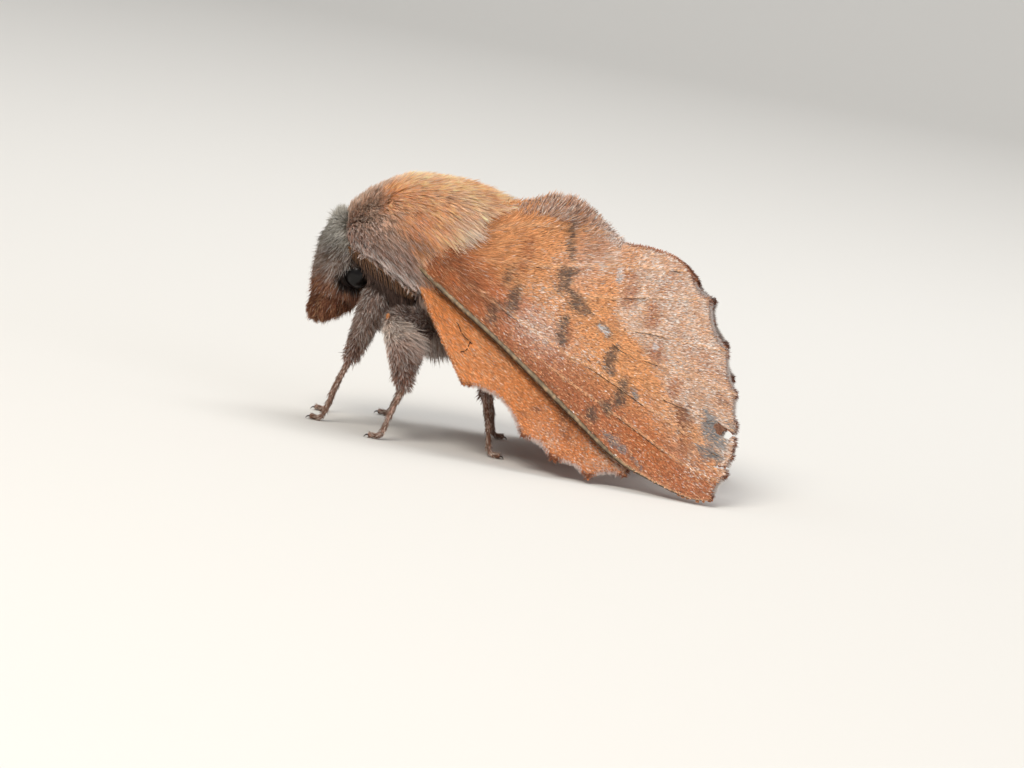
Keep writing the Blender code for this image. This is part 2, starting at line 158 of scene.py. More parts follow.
# Marks of the forewing: hue, strength and a stroke of (along, up, half width)
MARKS = (
    ("soot", 0.95, ((5.08, 6.1, 0.1), (5.3, 5.62, 0.17), (5.6, 5.15, 0.15), (6.3, 4.6, 0.1))),
    ("soot", 0.85, ((6.8, 4.3, 0.18), (6.45, 3.9, 0.36), (6.7, 3.45, 0.33), (7.15, 3.4, 0.12))),
    ("soot", 0.85, ((7.3, 3.5, 0.16), (7.7, 3.25, 0.36), (8.15, 3.15, 0.26), (8.6, 3.25, 0.1))),
    ("soot", 0.9, ((7.75, 2.35, 0.16), (7.95, 1.9, 0.3), (8.2, 1.45, 0.24))),
    ("rust", 0.6, ((8.1, 2.35, 0.1), (8.3, 1.9, 0.16), (8.45, 1.5, 0.1))),
    ("soot", 0.7, ((9.25, 3.15, 0.16), (9.9, 2.95, 0.18))),
    ("pearl", 0.9, ((9.45, 3.05, 0.1), (9.75, 2.97, 0.1))),
    ("soot", 0.85, ((10.6, 2.75, 0.14), (10.6, 2.3, 0.25), (10.75, 1.9, 0.3), (11.15, 1.72, 0.12))),
    ("soot", 1.0, ((11.85, 1.7, 0.26), (12.05, 1.5, 0.26))),
    ("lilac", 0.6, ((12.45, 1.75, 0.12), (12.7, 1.5, 0.14))),
    ("soot", 1.0, ((12.0, 1.05, 0.26), (12.2, 0.9, 0.26))),
    ("soot", 1.0, ((11.8, 0.36, 0.27), (11.98, 0.2, 0.26))),
    ("soot", 1.0, ((11.4, -0.3, 0.26), (11.58, -0.46, 0.24))),
    ("rust", 0.6, ((4.1, 3.9, 0.3), (4.25, 3.45, 0.38))),
    ("rust", 0.5, ((4.4, 3.0, 0.3), (4.5, 2.7, 0.3))),
    ("soot", 0.65, ((4.05, 2.35, 0.24), (4.15, 2.1, 0.26))),
    ("soot", 0.95, ((4.9, 1.95, 0.3), (5.0, 1.62, 0.34), (5.15, 1.25, 0.34))),
    ("soot", 0.85, ((4.5, 0.6, 0.32), (4.78, 0.25, 0.3))),
    ("umber", 0.35, ((0.6, 0.3, 0.28), (1.2, 0.95, 0.32))),
    ("umber", 0.35, ((1.2, 1.6, 0.25), (2.0, 1.13, 0.32), (3.1, 0.85, 0.3), (5.2, 0.6, 0.22))),
    ("rust", 0.6, ((9.2, 5.7, 0.26), (9.75, 4.85, 0.34))),
    ("rust", 0.55, ((10.95, 5.2, 0.28), (11.3, 4.7, 0.32))),
    ("rust", 0.75, ((12.1, 3.9, 0.24), (12.4, 3.6, 0.34))),
    ("rust", 0.6, ((14.0, 2.95, 0.34), (14.1, 2.8, 0.32))),
    ("rust", 0.5, ((14.95, 2.2, 0.3), (15.05, 2.05, 0.28))),
    ("rust", 0.55, ((15.9, 1.4, 0.28), (16.1, 0.85, 0.28))),
    ("pearl", 0.85, ((8.5, 5.62, 0.16), (8.78, 5.36, 0.18))),
    ("pearl", 0.8, ((11.98, 3.98, 0.12), (12.1, 3.86, 0.12))),
    ("lilac", 0.85, ((12.5, -0.74, 0.12), (13.1, -0.72, 0.22), (13.9, -0.8, 0.12))),
    ("lilac", 0.6, ((14.3, -0.85, 0.07), (14.9, -0.9, 0.11))),
)
TORN_MARKS = (
    ("lilac", 1.0, ((15.8, 3.0, 0.1), (16.35, 2.75, 0.36), (16.75, 2.4, 0.46), (17.35, 2.3, 0.3))),
    ("lilac", 0.8, ((17.2, 3.2, 0.1), (17.7, 3.1, 0.12))),
    ("lilac", 0.9, ((16.5, 1.55, 0.1), (17.1, 1.5, 0.3), (17.7, 1.7, 0.2))),
    ("umber", 0.55, ((14.9, 2.3, 0.36), (15.5, 1.9, 0.36))),
    ("umber", 0.4, ((16.0, 3.9, 0.2), (16.6, 3.8, 0.2))),
)
# A bite and a slit in the left forewing, as closed outlines
TEARS = (
    ((16.66, 2.74), (16.86, 3.0), (17.15, 2.98), (17.42, 3.02), (17.82, 2.98), (17.7, 2.66),
     (17.3, 2.52), (16.98, 2.54)),
    ((17.5, 1.02), (18.05, 1.3), (18.9, 1.72), (18.9, 1.92), (18.0, 1.42)),
    ((18.25, 2.3), (18.9, 2.35), (18.9, 2.56), (18.3, 2.45)),
)
HINDWING_MARKS = (
    ("umber", 0.5, ((9.25, -1.83, 0.2), (9.4, -1.8, 0.16))),
    ("umber", 0.5, ((8.8, -2.36, 0.16), (8.95, -2.34, 0.14))),
    ("umber", 0.35, ((10.4, -1.3, 0.3), (11.2, -1.9, 0.25))),
)
HINDWING_CRACKS = (
    ((3.7, -0.92), (4.0, -1.05), (4.3, -1.21), (4.7, -1.26), (5.0, -1.29)),
    ((4.86, -1.28), (4.9, -1.5), (4.92, -1.7), (4.75, -1.9)),
)


def linear(hex_colour):
    """Turns an sRGB hex colour to linear red, green and blue."""
    parts = [int(hex_colour[first:first + 2], 16) / 255 for first in (1, 3, 5)]
    return tuple(c / 12.92 if c <= 0.04045 else ((c + 0.055) / 1.055) ** 2.4 for c in parts)


def hue(name, hex_colour, description):
    return FloatVectorProperty(
        name=name, description=description, subtype="COLOR", size=3, min=0.0, max=1.0,
        default=linear(hex_colour),
    )


def length(name, millimetres, description):
    return FloatProperty(
        name=name, description=description, unit="LENGTH", min=0.0, default=millimetres * MM
    )


def amount(name, count, description):
    return IntProperty(name=name, description=description, min=0, default=count)


class MothSizes(bpy.types.PropertyGroup):
    """Lengths and counts of the coat."""

    thorax_hair: length("Thorax hair", 0.95, "Length of a lock on the back and sides")
    collar_hair: length("Collar hair", 0.75, "Length of a lock behind the head")
    head_hair: length("Head hair", 0.55, "Length of a lock on the face")
    palp_hair: length("Palp hair", 0.6, "Length of a lock on the snout-like palps")
    abdomen_hair: length("Abdomen hair", 0.95, "Length of a lock on the abdomen")
    leg_hair: length("Leg hair", 0.65, "Length of a lock on thighs and shins")
    hair_width: length("Hair width", 0.046, "Width of a lock at its widest")
    scale_length: length("Scale length", 0.25, "Length of a wing scale")
    scale_hair: length("Scale hair", 0.4, "Added to that at the wing's base and on its hump")
    scale_width: length("Scale width", 0.07, "Width of a wing scale")
    wing_skin: length("Wing skin", 0.12, "Thickness of the wing under its scales")
    scale_depth: length("Scale depth", 0.12, "How far the skin lies inside the tips of the scales")
    hump_fringe: length("Hump fringe", 0.62, "Length of the hairs along the inner margin's hump")
    edge_fringe: length("Edge fringe", 0.22, "Length of the hairs along the outer margin")
    comb_tooth: length("Comb tooth", 0.85, "Longest tooth of the antenna's comb")
    thorax_locks: amount("Thorax locks", 31000, "Locks on one side")
    head_locks: amount("Head locks", 26000, "Locks on head and palps")
    abdomen_locks: amount("Abdomen locks", 8000, "Locks there")
    leg_locks: amount("Leg locks", 24000, "Locks on all six legs")
    forewing_scales: amount("Forewing scales", 47000, "On one outer face")
    hindwing_scales: amount("Hindwing scales", 26000, "On one outer face")
    lining_scales: amount("Lining scales", 3600, "On one inner face")


class MothHues(bpy.types.PropertyGroup):
    """Colours of the moth."""

    orange: hue("Orange", "#dd9c66", "The forewing's warm ground colour")
    amber: hue("Amber", "#dc9a63", "Its brightest part, under the hump")
    chestnut: hue("Chestnut", "#b8714b", "Its darker base and front")
    rust: hue("Rust", "#a5643f", "The smudges inside the outer margin")
    # Umber also paints the shade on the hindwing just below the forewing's edge
    umber: hue("Umber", "#7d4d36", "The brown streaks at the base and the margins")
    soot: hue("Soot", "#5c4e45", "The dark marks across the wing")
    # Olive is painted light: the outward side of that vein
    olive: hue("Olive", "#a08a66", "The thick vein along the forewing's front edge")
    blush: hue("Blush", "#c3a089", "The pinkish ground of the forewing's outer part")
    snow: hue("Snow", "#e9e4de", "Whitish scales and fringes")
    frost: hue("Frost", "#d8c6b7", "The pale outer part of the forewing")
    # Walnut also paints shade: round the eyes, and on the costal vein's unlit side
    walnut: hue("Walnut", "#2c1f18", "Claws, and the fur that lies in the antennae's shade")
    straw: hue("Straw", "#e2b184", "Scales along the veins")
    rose: hue("Rose", "#c79c88", "The pinkish dusting in the middle")
    pearl: hue("Pearl", "#cfd0d2", "Bluish white specks and fringes")
    lilac: hue("Lilac", "#7c8082", "Bare wing skin where the scales are rubbed off")
    apricot: hue("Apricot", "#d98849", "The hindwing")
    ember: hue("Ember", "#c0703c", "The hindwing's lower part and the wings' undersides")
    buff: hue("Buff", "#f2caa2", "Fur on the back of the thorax")
    honey: hue("Honey", "#efb98a", "Fur on the shoulders")
    cream: hue("Cream", "#f5e3cf", "The pale tuft over the wing's base")
    mouse: hue("Mouse", "#bda08b", "The grey-brown collar")
    dusk: hue("Dusk", "#b39080", "Pinkish grey fur on the sides")
    ash: hue("Ash", "#9b968b", "The whitish grey tuft between the antennae")
    smoke: hue("Smoke", "#5a4c3e", "The face")
    cocoa: hue("Cocoa", "#4c2a1b", "The palps")
    # Dusky hair and shade: dark hairs in the forewing's fringe, and painted shade where the legs
    # meet the body
    shadow: hue("Shadow", "#463a32", "Fur underneath")
    shank: hue("Shank", "#8c7366", "Fur of the legs")
    shell: hue("Shell", "#6f4a35", "Bare shins and feet")
    comb: hue("Comb", "#7e5d45", "The antenna's teeth")
    shaft: hue("Shaft", "#6f5038", "The antenna's shaft")


def values_of(group):
    return {key: getattr(group, key) for key in group.__annotations__}


def sizes():
    """The moth's lengths in millimetres, and its counts."""
    values = values_of(bpy.context.scene.moth_sizes)
    return {key: value if isinstance(value, int) else value / MM for key, value in values.items()}


def hues():
    """The moth's colours as arrays."""
    return {key: np.array(tone) for key, tone in values_of(bpy.context.scene.moth_hues).items()}


# --- curves, noise and mixing ---


def smooth_path(points, count, start=0.0, stop=None):
    """A Catmull-Rom curve through the points, read at count even steps from start to stop."""
    points = np.asarray(points, float)
    ends = np.vstack([2 * points[0] - points[1], points, 2 * points[-1] - points[-2]])
    last = len(points) - 1
    where = np.linspace(start, last if stop is None else stop, count)
    first = np.clip(where.astype(int), 0, last - 1)
    t = (where - first)[:, None]
    before, here, after, beyond = (ends[first + k] for k in range(4))
    return 0.5 * (
        2 * here
        + (after - before) * t
        + (2 * before - 5 * here + 4 * after - beyond) * t**2
        + (3 * here - before - 3 * after + beyond) * t**3
    )


def scalloped(teeth, depths, steps):
    """The margin through the teeth, sagging inwards between each two, inwards being to the left."""
    margin = []
    for tooth, following, depth in zip(teeth, teeth[1:], depths):
        here, run = np.array(tooth), np.subtract(following, tooth)
        inwards = np.array([-run[1], run[0]]) * depth
        for share in np.arange(steps) / steps:
            margin.append(here + run * share + inwards * 4 * share * (1 - share))
    return np.array(margin + [np.array(teeth[-1])])


def smoothstep(value):
    value = np.clip(value, 0.0, 1.0)
    return value * value * (3 - 2 * value)


def ramp(value, start, width):
    """0 up to start, then rising smoothly to 1 over the width."""
    return smoothstep((value - start) / width)


def fall(value, start, width):
    """1 up to start, then falling smoothly to 0 over the width."""
    return 1 - ramp(value, start, width)


def bump(value, centre, spread):
    """1 at the centre, fading to nothing about one spread away."""
    return np.exp(-(((value - centre) / spread) ** 2))


def unit(vectors):
    return vectors / np.maximum(np.linalg.norm(vectors, axis=-1, keepdims=True), 1e-12)


def noise(points, size, seed=0):
    """Smooth noise from 0 to 1, in any number of dimensions, with lumps about size across."""
    points = np.asarray(points, float) / size
    cell = np.floor(points)
    share = smoothstep(points - cell)
    stir = np.array([127.1, 311.7, 74.7])[: points.shape[1]]
    total = np.zeros(len(points))
    for corner in itertools.product((0, 1), repeat=points.shape[1]):
        weight = np.prod(np.where(np.array(corner) == 1, share, 1 - share), axis=1)
        total += weight * ((np.sin((cell + corner) @ stir + 19.3 * seed) * 43758.5453) % 1)
    return total


def over(under, top, weight):
    """Lays a colour over others, more where weight is higher."""
    weight = np.clip(weight, 0, 1)[:, None]
    return under * (1 - weight) + top * weight


def ground(name, count):
    """One hue, once for each of count points."""
    return hues()[name][None].repeat(count, 0)


def washed(tone, *washes, lay=over):
    """Lays hues over a tone one after the other, each a name and a weight."""
    hue_of = hues()
    for name, weight in washes:
        tone = lay(tone, hue_of[name], weight)
    return tone


def strewn(rng):
    """A way to lay a colour on single tufts, on more of them where the weight is higher."""

    def lay(under, top, weight):
        chosen = rng.random(len(under)) < weight * 1.2
        return over(under, top, chosen * rng.uniform(0.3, 0.85, len(under)))

    return lay


def stroke(spots, path):
    """1 on a stroke of (along, up, half width) points, fading to 0 at its edge."""
    path = np.asarray(path, float)
    best = np.zeros(len(spots))
    for start, stop in zip(path, path[1:]):
        run = stop[:2] - start[:2]
        share = np.clip((spots - start[:2]) @ run / (run @ run), 0, 1)
        off = np.linalg.norm(spots - start[:2] - share[:, None] * run, axis=1)
        half = start[2] + (stop[2] - start[2]) * share
        best = np.maximum(best, 1 - smoothstep((off / half - 0.2) / 1.5))
    return best


def distance_to(spots, path):
    """How far each spot is from a line through the path's points, and how far along it lies."""
    path = np.asarray(path, float)
    best, reach, walked = np.full(len(spots), np.inf), np.zeros(len(spots)), 0.0
    for start, stop in zip(path, path[1:]):
        run = stop - start
        share = np.clip((spots - start) @ run / (run @ run), 0, 1)
        off = np.linalg.norm(spots - start - share[:, None] * run, axis=1)
        nearer = off < best
        best = np.where(nearer, off, best)
        reach = np.where(nearer, walked + share * np.linalg.norm(run), reach)
        walked += np.linalg.norm(run)
    return best, reach


def gap_to(spots, points):
    """How far each spot is from the nearest of some points."""
    return np.min(np.linalg.norm(spots[:, None] - np.array(points)[None], axis=2), axis=1)


def nearest_of(points, places):
    """For each place, the number of the nearest of the points."""
    tree = KDTree(len(points))
    for number, point in enumerate(points):
        tree.insert(point, number)
    tree.balance()
    return np.array([tree.find(place)[1] for place in places])


def inside(spots, outline):
    """Which spots lie inside a closed outline."""
    x, y = spots.T
    hit = np.zeros(len(spots), bool)
    for (x0, y0), (x1, y1) in zip(outline, np.roll(outline, -1, axis=0)):
        crosses = (y0 > y) != (y1 > y)
        hit ^= crosses & (x < x0 + (y - y0) * (x1 - x0) / (y1 - y0 + 1e-12))
    return hit


# --- meshes ---


def mesh_object(name, points, faces, material, hue_of_points=None, smooth=True):
    """An object from points in millimetres and triangles, with its colours in "Pigment"."""
    mesh = bpy.data.meshes.new(name)
    faces = np.asarray(faces, np.int32)
    mesh.vertices.add(len(points))
    points = np.asarray(points) * (MM, MM, MM)
    points[:, 2] = np.maximum(points[:, 2], 0)  # nothing reaches below the floor
    mesh.vertices.foreach_set("co", points.astype(np.float32).ravel())
    mesh.loops.add(faces.size)
    mesh.loops.foreach_set("vertex_index", faces.ravel())
    mesh.polygons.add(len(faces))
    mesh.polygons.foreach_set("loop_start", np.arange(0, faces.size, 3, dtype=np.int32))
    mesh.update(calc_edges=True)
    mesh.polygons.foreach_set("use_smooth", np.full(len(faces), smooth))
    if hue_of_points is not None:
        paint(mesh, hue_of_points)
    mesh.materials.append(material)
    return link(bpy.data.objects.new(name, mesh))


def link(obj):
    bpy.context.scene.collection.objects.link(obj)
    return obj


def paint(mesh, hue_of_points):
    pigment = mesh.attributes.new("Pigment", "FLOAT_COLOR", "POINT")
    rgba = np.ones((len(mesh.vertices), 4), np.float32)
    rgba[:, :3] = np.clip(hue_of_points, 0, 1)
    pigment.data.foreach_set("color", rgba.ravel())


def read(items, key, width, kind=np.float32):
    """One value of every item, as rows of width numbers."""
    values = np.empty(len(items) * width, kind)
    items.foreach_get(key, values)
    return values.reshape(-1, width)


def lay_out(obj, places):
    """Writes the map OFBake from one place in the unit square for each point."""
    layer = obj.data.uv_layers.new(name="OFBake")
    corner = read(obj.data.loops, "vertex_index", 1, np.int32)[:, 0]
    layer.data.foreach_set("uv", np.asarray(places, np.float32)[corner].ravel())


def add_piece(obj, slot, *nodes):
    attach(obj, "root")
    if nodes:
        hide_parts(*nodes)
    return obj


TUFT_PATCH = 0.003  # size of one tuft's patch on the map OFBake

# A lock is its root, three points round its middle, and its tip. A scale is root, left, right, tip.
LOCK_FACES = np.array(((0, 2, 1), (0, 3, 2), (0, 1, 3), (4, 1, 2), (4, 2, 3), (4, 3, 1)))
SCALE_FACES = np.array(((0, 3, 1), (0, 2, 3), (0, 1, 2), (3, 2, 1)))
# Brightness of those points: painted shade at the root, painted light at the tip
LOCK_PAINTED_SHADING = np.array((0.82, 1.0, 1.0, 1.0, 1.15))
SCALE_PAINTED_SHADING = np.array((0.78, 1.0, 1.0, 1.08))
LOCK_SPREAD = np.array(((0, 0), (0.4, 0.5), (0.4, -0.5), (0.4, 0), (1, 0)))
SCALE_SPREAD = np.array(((0, 0), (0.5, 0.5), (0.5, -0.5), (1, 0)))


def many(faces, count, step):
    """The same small form's faces, once for each of count copies."""
    return (faces[None] + step * np.arange(count)[:, None, None]).reshape(-1, 3)


def scales_at(root, along, out, size, width, rise):
    """Thin closed keeled scales that lie along the wing, tips a little raised."""
    across = unit(np.cross(out, along))
    size, width, rise = size[:, None], width[:, None], rise[:, None]
    middle = root + along * size * 0.55 + out * (rise * 0.5 - width * 0.2)
    return np.stack([
        root,
        middle + across * width / 2,
        middle - across * width / 2,
        root + along * size + out * rise,
    ], 1)


def locks_at(root, middle, tip, width):
    """Locks of hair, three-sided spindles bent at a middle point."""
    stem = unit(tip - root)
    across = unit(np.cross(stem, np.array([0.31, 0.77, 0.53])))
    third = np.cross(stem, across)
    ring = []
    for turn in (0.5, 2.6, 4.7):
        spoke = across * math.cos(turn) + third * math.sin(turn)
        ring.append(middle + spoke * (width / 2)[:, None])
    return np.stack([root, *ring, tip], 1)


def tufts_object(name, forms, kind, colours, places, tips=None):
    """Joins small forms into one piece, each with its own colour, painted darker at its root as
    shade and lighter at its tip as light, and its patch on the map.

    tips gives, for each form, the colour of its tip where that differs from the rest.
    """
    faces, painted_shading, spread, material = kind
    count, step = forms.shape[:2]
    tint = colours[:, None, :] * painted_shading[None, :, None]
    if tips is not None:
        tint[:, -1] = tips
    obj = mesh_object(
        name, forms.reshape(-1, 3), many(faces, count, step), material_of(material),
        tint.reshape(-1, 3), smooth=False,
    )
    patch = np.clip(places, 0.004, 0.993)[:, None] + TUFT_PATCH * spread[None]
    lay_out(obj, patch.reshape(-1, 2))
    return obj


LOCK = (LOCK_FACES, LOCK_PAINTED_SHADING, LOCK_SPREAD, "moth_hair_chitin")
SCALE = (SCALE_FACES, SCALE_PAINTED_SHADING, SCALE_SPREAD, "wing_scale_chitin")


# --- materials ---


def add_node(tree, kind, settings=None, inputs=None, **links):
    """Adds a node, sets its properties and its sockets' values, and links its inputs by name."""
    node = tree.nodes.new(kind)
    for key, value in (settings or {}).items():
        setattr(node, key, value)
    for key, value in (inputs or {}).items():
        node.inputs[key].default_value = value
    for key, source in links.items():
        tree.links.new(source, node.inputs[key])
    return node


def new_material(name, values):
    """A material with its tree, its shader set to the values, and its object coordinates."""
    material = bpy.data.materials.new(name)
    material.use_nodes = True
    tree = material.node_tree
    shader = tree.nodes["Principled BSDF"]
    for key, value in values.items():
        shader.inputs[key].default_value = value
    return material, tree, shader, add_node(tree, "ShaderNodeTexCoord").outputs["Object"]


def embossed(tree, shader, height, strength, depth_mm, invert=False):
    """Lets a height shade the shader's surface as a relief."""
    relief = add_node(
        tree, "ShaderNodeBump", {"invert": invert},
        {"Strength": strength, "Distance": depth_mm * MM}, Height=height,
    )
    tree.links.new(relief.outputs["Normal"], shader.inputs["Normal"])


def pigmented(name, grain_mm, grain_share, relief_mm, values):
    """A surface coloured by its own pigment, mottled by a grain, with a fine relief."""
    material, tree, shader, where = new_material(name, values)
    pigment = add_node(tree, "ShaderNodeAttribute", {"attribute_name": "Pigment"})
    grain = add_node(
        tree, "ShaderNodeTexNoise", None, {"Scale": 1 / (grain_mm * MM), "Detail": 3.0},
        Vector=where,
    )
    level = add_node(
        tree, "ShaderNodeMapRange", None,
        {"To Min": 1 - grain_share, "To Max": 1 + grain_share}, Value=grain.outputs["Fac"],
    )
    shade = add_node(
        tree, "ShaderNodeVectorMath", {"operation": "SCALE"}, None,
        Vector=pigment.outputs["Color"], Scale=level.outputs["Result"],
    )
    tree.links.new(shade.outputs["Vector"], shader.inputs["Base Color"])
    embossed(tree, shader, grain.outputs["Fac"], 0.6, relief_mm)
    return material


def eye_cornea():
    """Compound-eye cornea: thousands of lenses in a black ball, glossy as lacquer."""
    material, tree, shader, where = new_material("eye_cornea", {
        "Base Color": (*linear("#0e0a09"), 1), "Roughness": 0.3, "Coat Weight": 0.25,
        "Coat Roughness": 0.12, "Specular IOR Level": 0.12,
    })
    lens_mm = 0.03  # a real lens is finer, too fine to show
    lenses = add_node(
        tree, "ShaderNodeTexVoronoi", None, {"Scale": 1 / (lens_mm * MM), "Randomness": 0.35},
        Vector=where,
    )
    embossed(tree, shader, lenses.outputs["Distance"], 0.35, 0.004, invert=True)
    return material


def seamless_paper():
    """Studio paper: an even pale sweep with the faintest tooth."""
    material, tree, shader, where = new_material(
        "seamless_paper", {"Base Color": (*linear("#dedbd5"), 1), "Roughness": 0.9}
    )
    tooth = add_node(tree, "ShaderNodeTexNoise", None, {"Scale": 1 / (0.4 * MM)}, Vector=where)
    embossed(tree, shader, tooth.outputs["Fac"], 0.2, 0.02)
    return material


# Name: grain size, its share, height of the relief (both lengths in mm), the shader's values
PIGMENTED = {
    # Hair of keratin-like chitin: a soft gloss along each lock and light that grazes its edge
    "moth_hair_chitin": (0.05, 0.12, 0.004, {
        "Roughness": 0.55, "Sheen Weight": 0.08, "Sheen Roughness": 0.5,
        "Specular IOR Level": 0.22,
    }),
    # Overlapping scales of dusty chitin: matt, with a faint satin lift where they turn
    "wing_scale_chitin": (0.06, 0.14, 0.004, {
        "Roughness": 0.62, "Sheen Weight": 0.18, "Sheen Roughness": 0.45,
        "Specular IOR Level": 0.3,
    }),
    # Wing skin seen between its scales: a thin dry membrane, smoother than what covers it
    "wing_membrane": (0.09, 0.2, 0.02, {"Roughness": 0.5, "Specular IOR Level": 0.4}),
    # Body skin, packed with hair roots: dull, its pigment painted darker between the locks as shade
    "hair_root_felt": (0.07, 0.3, 0.06, {"Roughness": 0.85, "Sheen Weight": 0.1}),
    # Bare limb chitin: a brown horn that shines where the scales are worn off
    "limb_chitin": (0.05, 0.22, 0.012, {
        "Roughness": 0.38, "Coat Weight": 0.15, "Coat Roughness": 0.3,
    }),
    # Antenna chitin: thin brown horn, darker where the teeth crowd
    "antenna_chitin": (0.04, 0.15, 0.006, {"Roughness": 0.5, "Specular IOR Level": 0.12}),
}


def material_of(name):
    """The material of that name, made the first time it is asked for."""
    if name in bpy.data.materials:
        return bpy.data.materials[name]
    if name in PIGMENTED:
        return pigmented(name, *PIGMENTED[name])
    return {"eye_cornea": eye_cornea, "seamless_paper": seamless_paper}[name]()


# --- wings ---

COSTA_LINE = smooth_path(COSTA, 120)
RIDGE_LINE = smooth_path(INNER_MARGIN, 120)
RIDGE_TOP = max(height for _, height in INNER_MARGIN)
ROOT_DIP, ROOT_DIP_REACH = 0.7, 1.7  # the wing dips this deep into the thorax's fur at its root
RIDGE_CLOSE, RIDGE_CLOSE_FROM = 0.3, 0.82  # the thin wings lean together under the ridge
HUMP_AT = 4.9  # the hump of the inner margin, as a place along the wing
FRINGE_INSET = 0.7  # share of the fringe's length by which the wing's skin ends short of it
FOREWING_MESH, HINDWING_MESH = 0.16, 0.2  # distance between the points of a wing's skin
FOREWING_FRINGE_STEP, HINDWING_FRINGE_STEP = 0.0034, 0.006  # distance between the fringes' hairs
BAY_STEPS = 14  # points to each bay between two teeth


def line_height(line, along):
    """Height of a margin's line at places along the wing."""
    return np.interp(along, line[:, 0], line[:, 1])


def ridge_height(along):
    return np.where(along > FULL_HEIGHT_FROM, RIDGE_TOP, line_height(RIDGE_LINE, along))


def roof_half_width(along, up):
    """How far out from the middle the folded forewing's outer face lies."""
    spread = np.maximum(along / TIP_REACH, 0) ** ROOF_SPREAD
    low = ROOT_HALF_WIDTH + (TIP_HALF_WIDTH - ROOT_HALF_WIDTH) * spread
    meet = smoothstep(along / RIDGE_START)
    ridge = SHOULDER_HALF_WIDTH + (RIDGE_HALF_WIDTH - SHOULDER_HALF_WIDTH) * meet
    share = up / ridge_height(along)
    return ridge + (low - ridge) * (1 - share) * (1 + ROOF_CROWN * share)


def forewing_skin_out(along, up):
    """The same for its skin, which dips into the fur at the root and closes the ridge."""
    dip = ROOT_DIP * fall(along, -0.2, ROOT_DIP_REACH)
    lean = RIDGE_CLOSE * ramp(up / ridge_height(along), RIDGE_CLOSE_FROM, 1 - RIDGE_CLOSE_FROM)
    lean = lean * smoothstep(along / RIDGE_START)
    return roof_half_width(along, up) - sizes()["scale_depth"] - dip - lean


def hindwing_skin_out(along, up):
    """The hindwing's skin, inside the forewing and flaring out below its costa."""
    drop = line_height(COSTA_LINE, along) - up
    below = (drop + np.sqrt(drop**2 + FLARE_BEND**2)) / 2
    dip = 0.5 * ROOT_DIP * fall(along, 1.2, ROOT_DIP_REACH)
    flare = HINDWING_FLARE * below - LAYER_STEP - sizes()["scale_depth"] - dip
    return roof_half_width(along, up + below) + flare


class Wing:
    """One wing, drawn flat as (along, up) spots and folded on the roof."""

    def __init__(self, name, side, outline, half_width, lie, pigment, lag=0.0, tears=()):
        self.name, self.side, self.half_width = name, side, half_width
        self.outline, self.tears, self.lag = outline, [np.array(tear) for tear in tears], lag
        self.lie, self.pigment = lie, pigment

    def at(self, spots):
        along, up = spots[:, 0], spots[:, 1]
        out = self.side * self.half_width(along, up)
        along = along + self.lag * (np.maximum(up, 0) / RIDGE_TOP) ** 3
        x = ROOT_X + along * math.cos(WING_SLOPE) + up * math.sin(WING_SLOPE)
        z = ROOT_Z - along * math.sin(WING_SLOPE) + up * math.cos(WING_SLOPE)
        return np.stack([x, out, z], -1)

    def axes(self, spots, step=0.05):
        """Place, direction of the lie and outward normal at each spot."""
        here = self.at(spots)
        length_wise = self.at(spots + (step, 0)) - here
        height_wise = self.at(spots + (0, step)) - here
        out = unit(np.cross(length_wise, height_wise)) * (-self.side)
        return here, unit(length_wise), unit(height_wise), out

    def has(self, spots):
        hit = inside(spots, self.outline)
        for tear in self.tears:
            hit &= ~inside(spots, tear)
        return hit


def inset(outline, depths):
    """Draws a counter-clockwise outline inwards by a depth at each point."""
    run = np.roll(outline, -1, axis=0) - np.roll(outline, 1, axis=0)
    inwards = unit(np.stack([-run[:, 1], run[:, 0]], -1))
    return outline + inwards * depths[:, None]


def closed_loop(*stretches):
    """One outline from stretches that meet end to end, without double points."""
    outline = np.vstack(stretches)
    keep = np.linalg.norm(outline - np.roll(outline, -1, axis=0), axis=1) > 1e-3
    return outline[keep]


def fringe_of_forewing(spots):
    """How long the fringe is at the forewing's margin: long on the hump, short at the costa."""
    along, up = spots.T
    size = sizes()
    high = ramp(up, 4.0, 1.5)
    hump = size["hump_fringe"] * high * np.exp(-(((along - HUMP_AT) / 2.1) ** 4))
    dorsal = 0.16 * high * ramp(along, 7, 0.6)
    outer = size["edge_fringe"] * ramp(along, 11.6, 0.8) * ramp(up, -0.25, 0.5)
    return np.maximum(np.maximum(hump, dorsal), outer)


def fringe_of_hindwing(spots):
    along, up = spots.T
    front = 0.1 * smoothstep((0.5 - up) / 0.5)
    outer = sizes()["edge_fringe"] * ramp(along, 5.2, 0.8)
    return np.maximum(front, outer)


def forewing_margin(steps):
    """The scalloped outer margin, with steps points to each bay."""
    return scalloped(TERMEN_TEETH, [-SCALLOP] * (len(TERMEN_TEETH) - 1), steps)


def forewing_outline():
    """Root, costa, outer margin and inner margin, counter-clockwise, short of the fringe."""
    termen = forewing_margin(BAY_STEPS)[::-1]
    root = np.linspace(INNER_MARGIN[0], COSTA[0], 14)
    loop = closed_loop(smooth_path(COSTA, 150), termen, smooth_path(INNER_MARGIN, 130)[::-1], root)
    return inset(loop, FRINGE_INSET * fringe_of_forewing(loop))


def hindwing_outline():
    depths = [FIRST_SCALLOP] + [SCALLOP] * (len(HINDWING_TEETH) - 2)
    margin = scalloped(HINDWING_TEETH, depths, BAY_STEPS)
    front = np.linspace(HINDWING_ROOT[0], HINDWING_TEETH[0], 40)
    back = np.linspace(HINDWING_TEETH[-1], HINDWING_ROOT[1], 60)
    loop = closed_loop(front, margin, back, np.linspace(HINDWING_ROOT[1], HINDWING_ROOT[0], 12))
    return inset(loop, FRINGE_INSET * fringe_of_hindwing(loop))


def below_ridge(spots):
    return line_height(RIDGE_LINE, spots[:, 0]) - spots[:, 1]


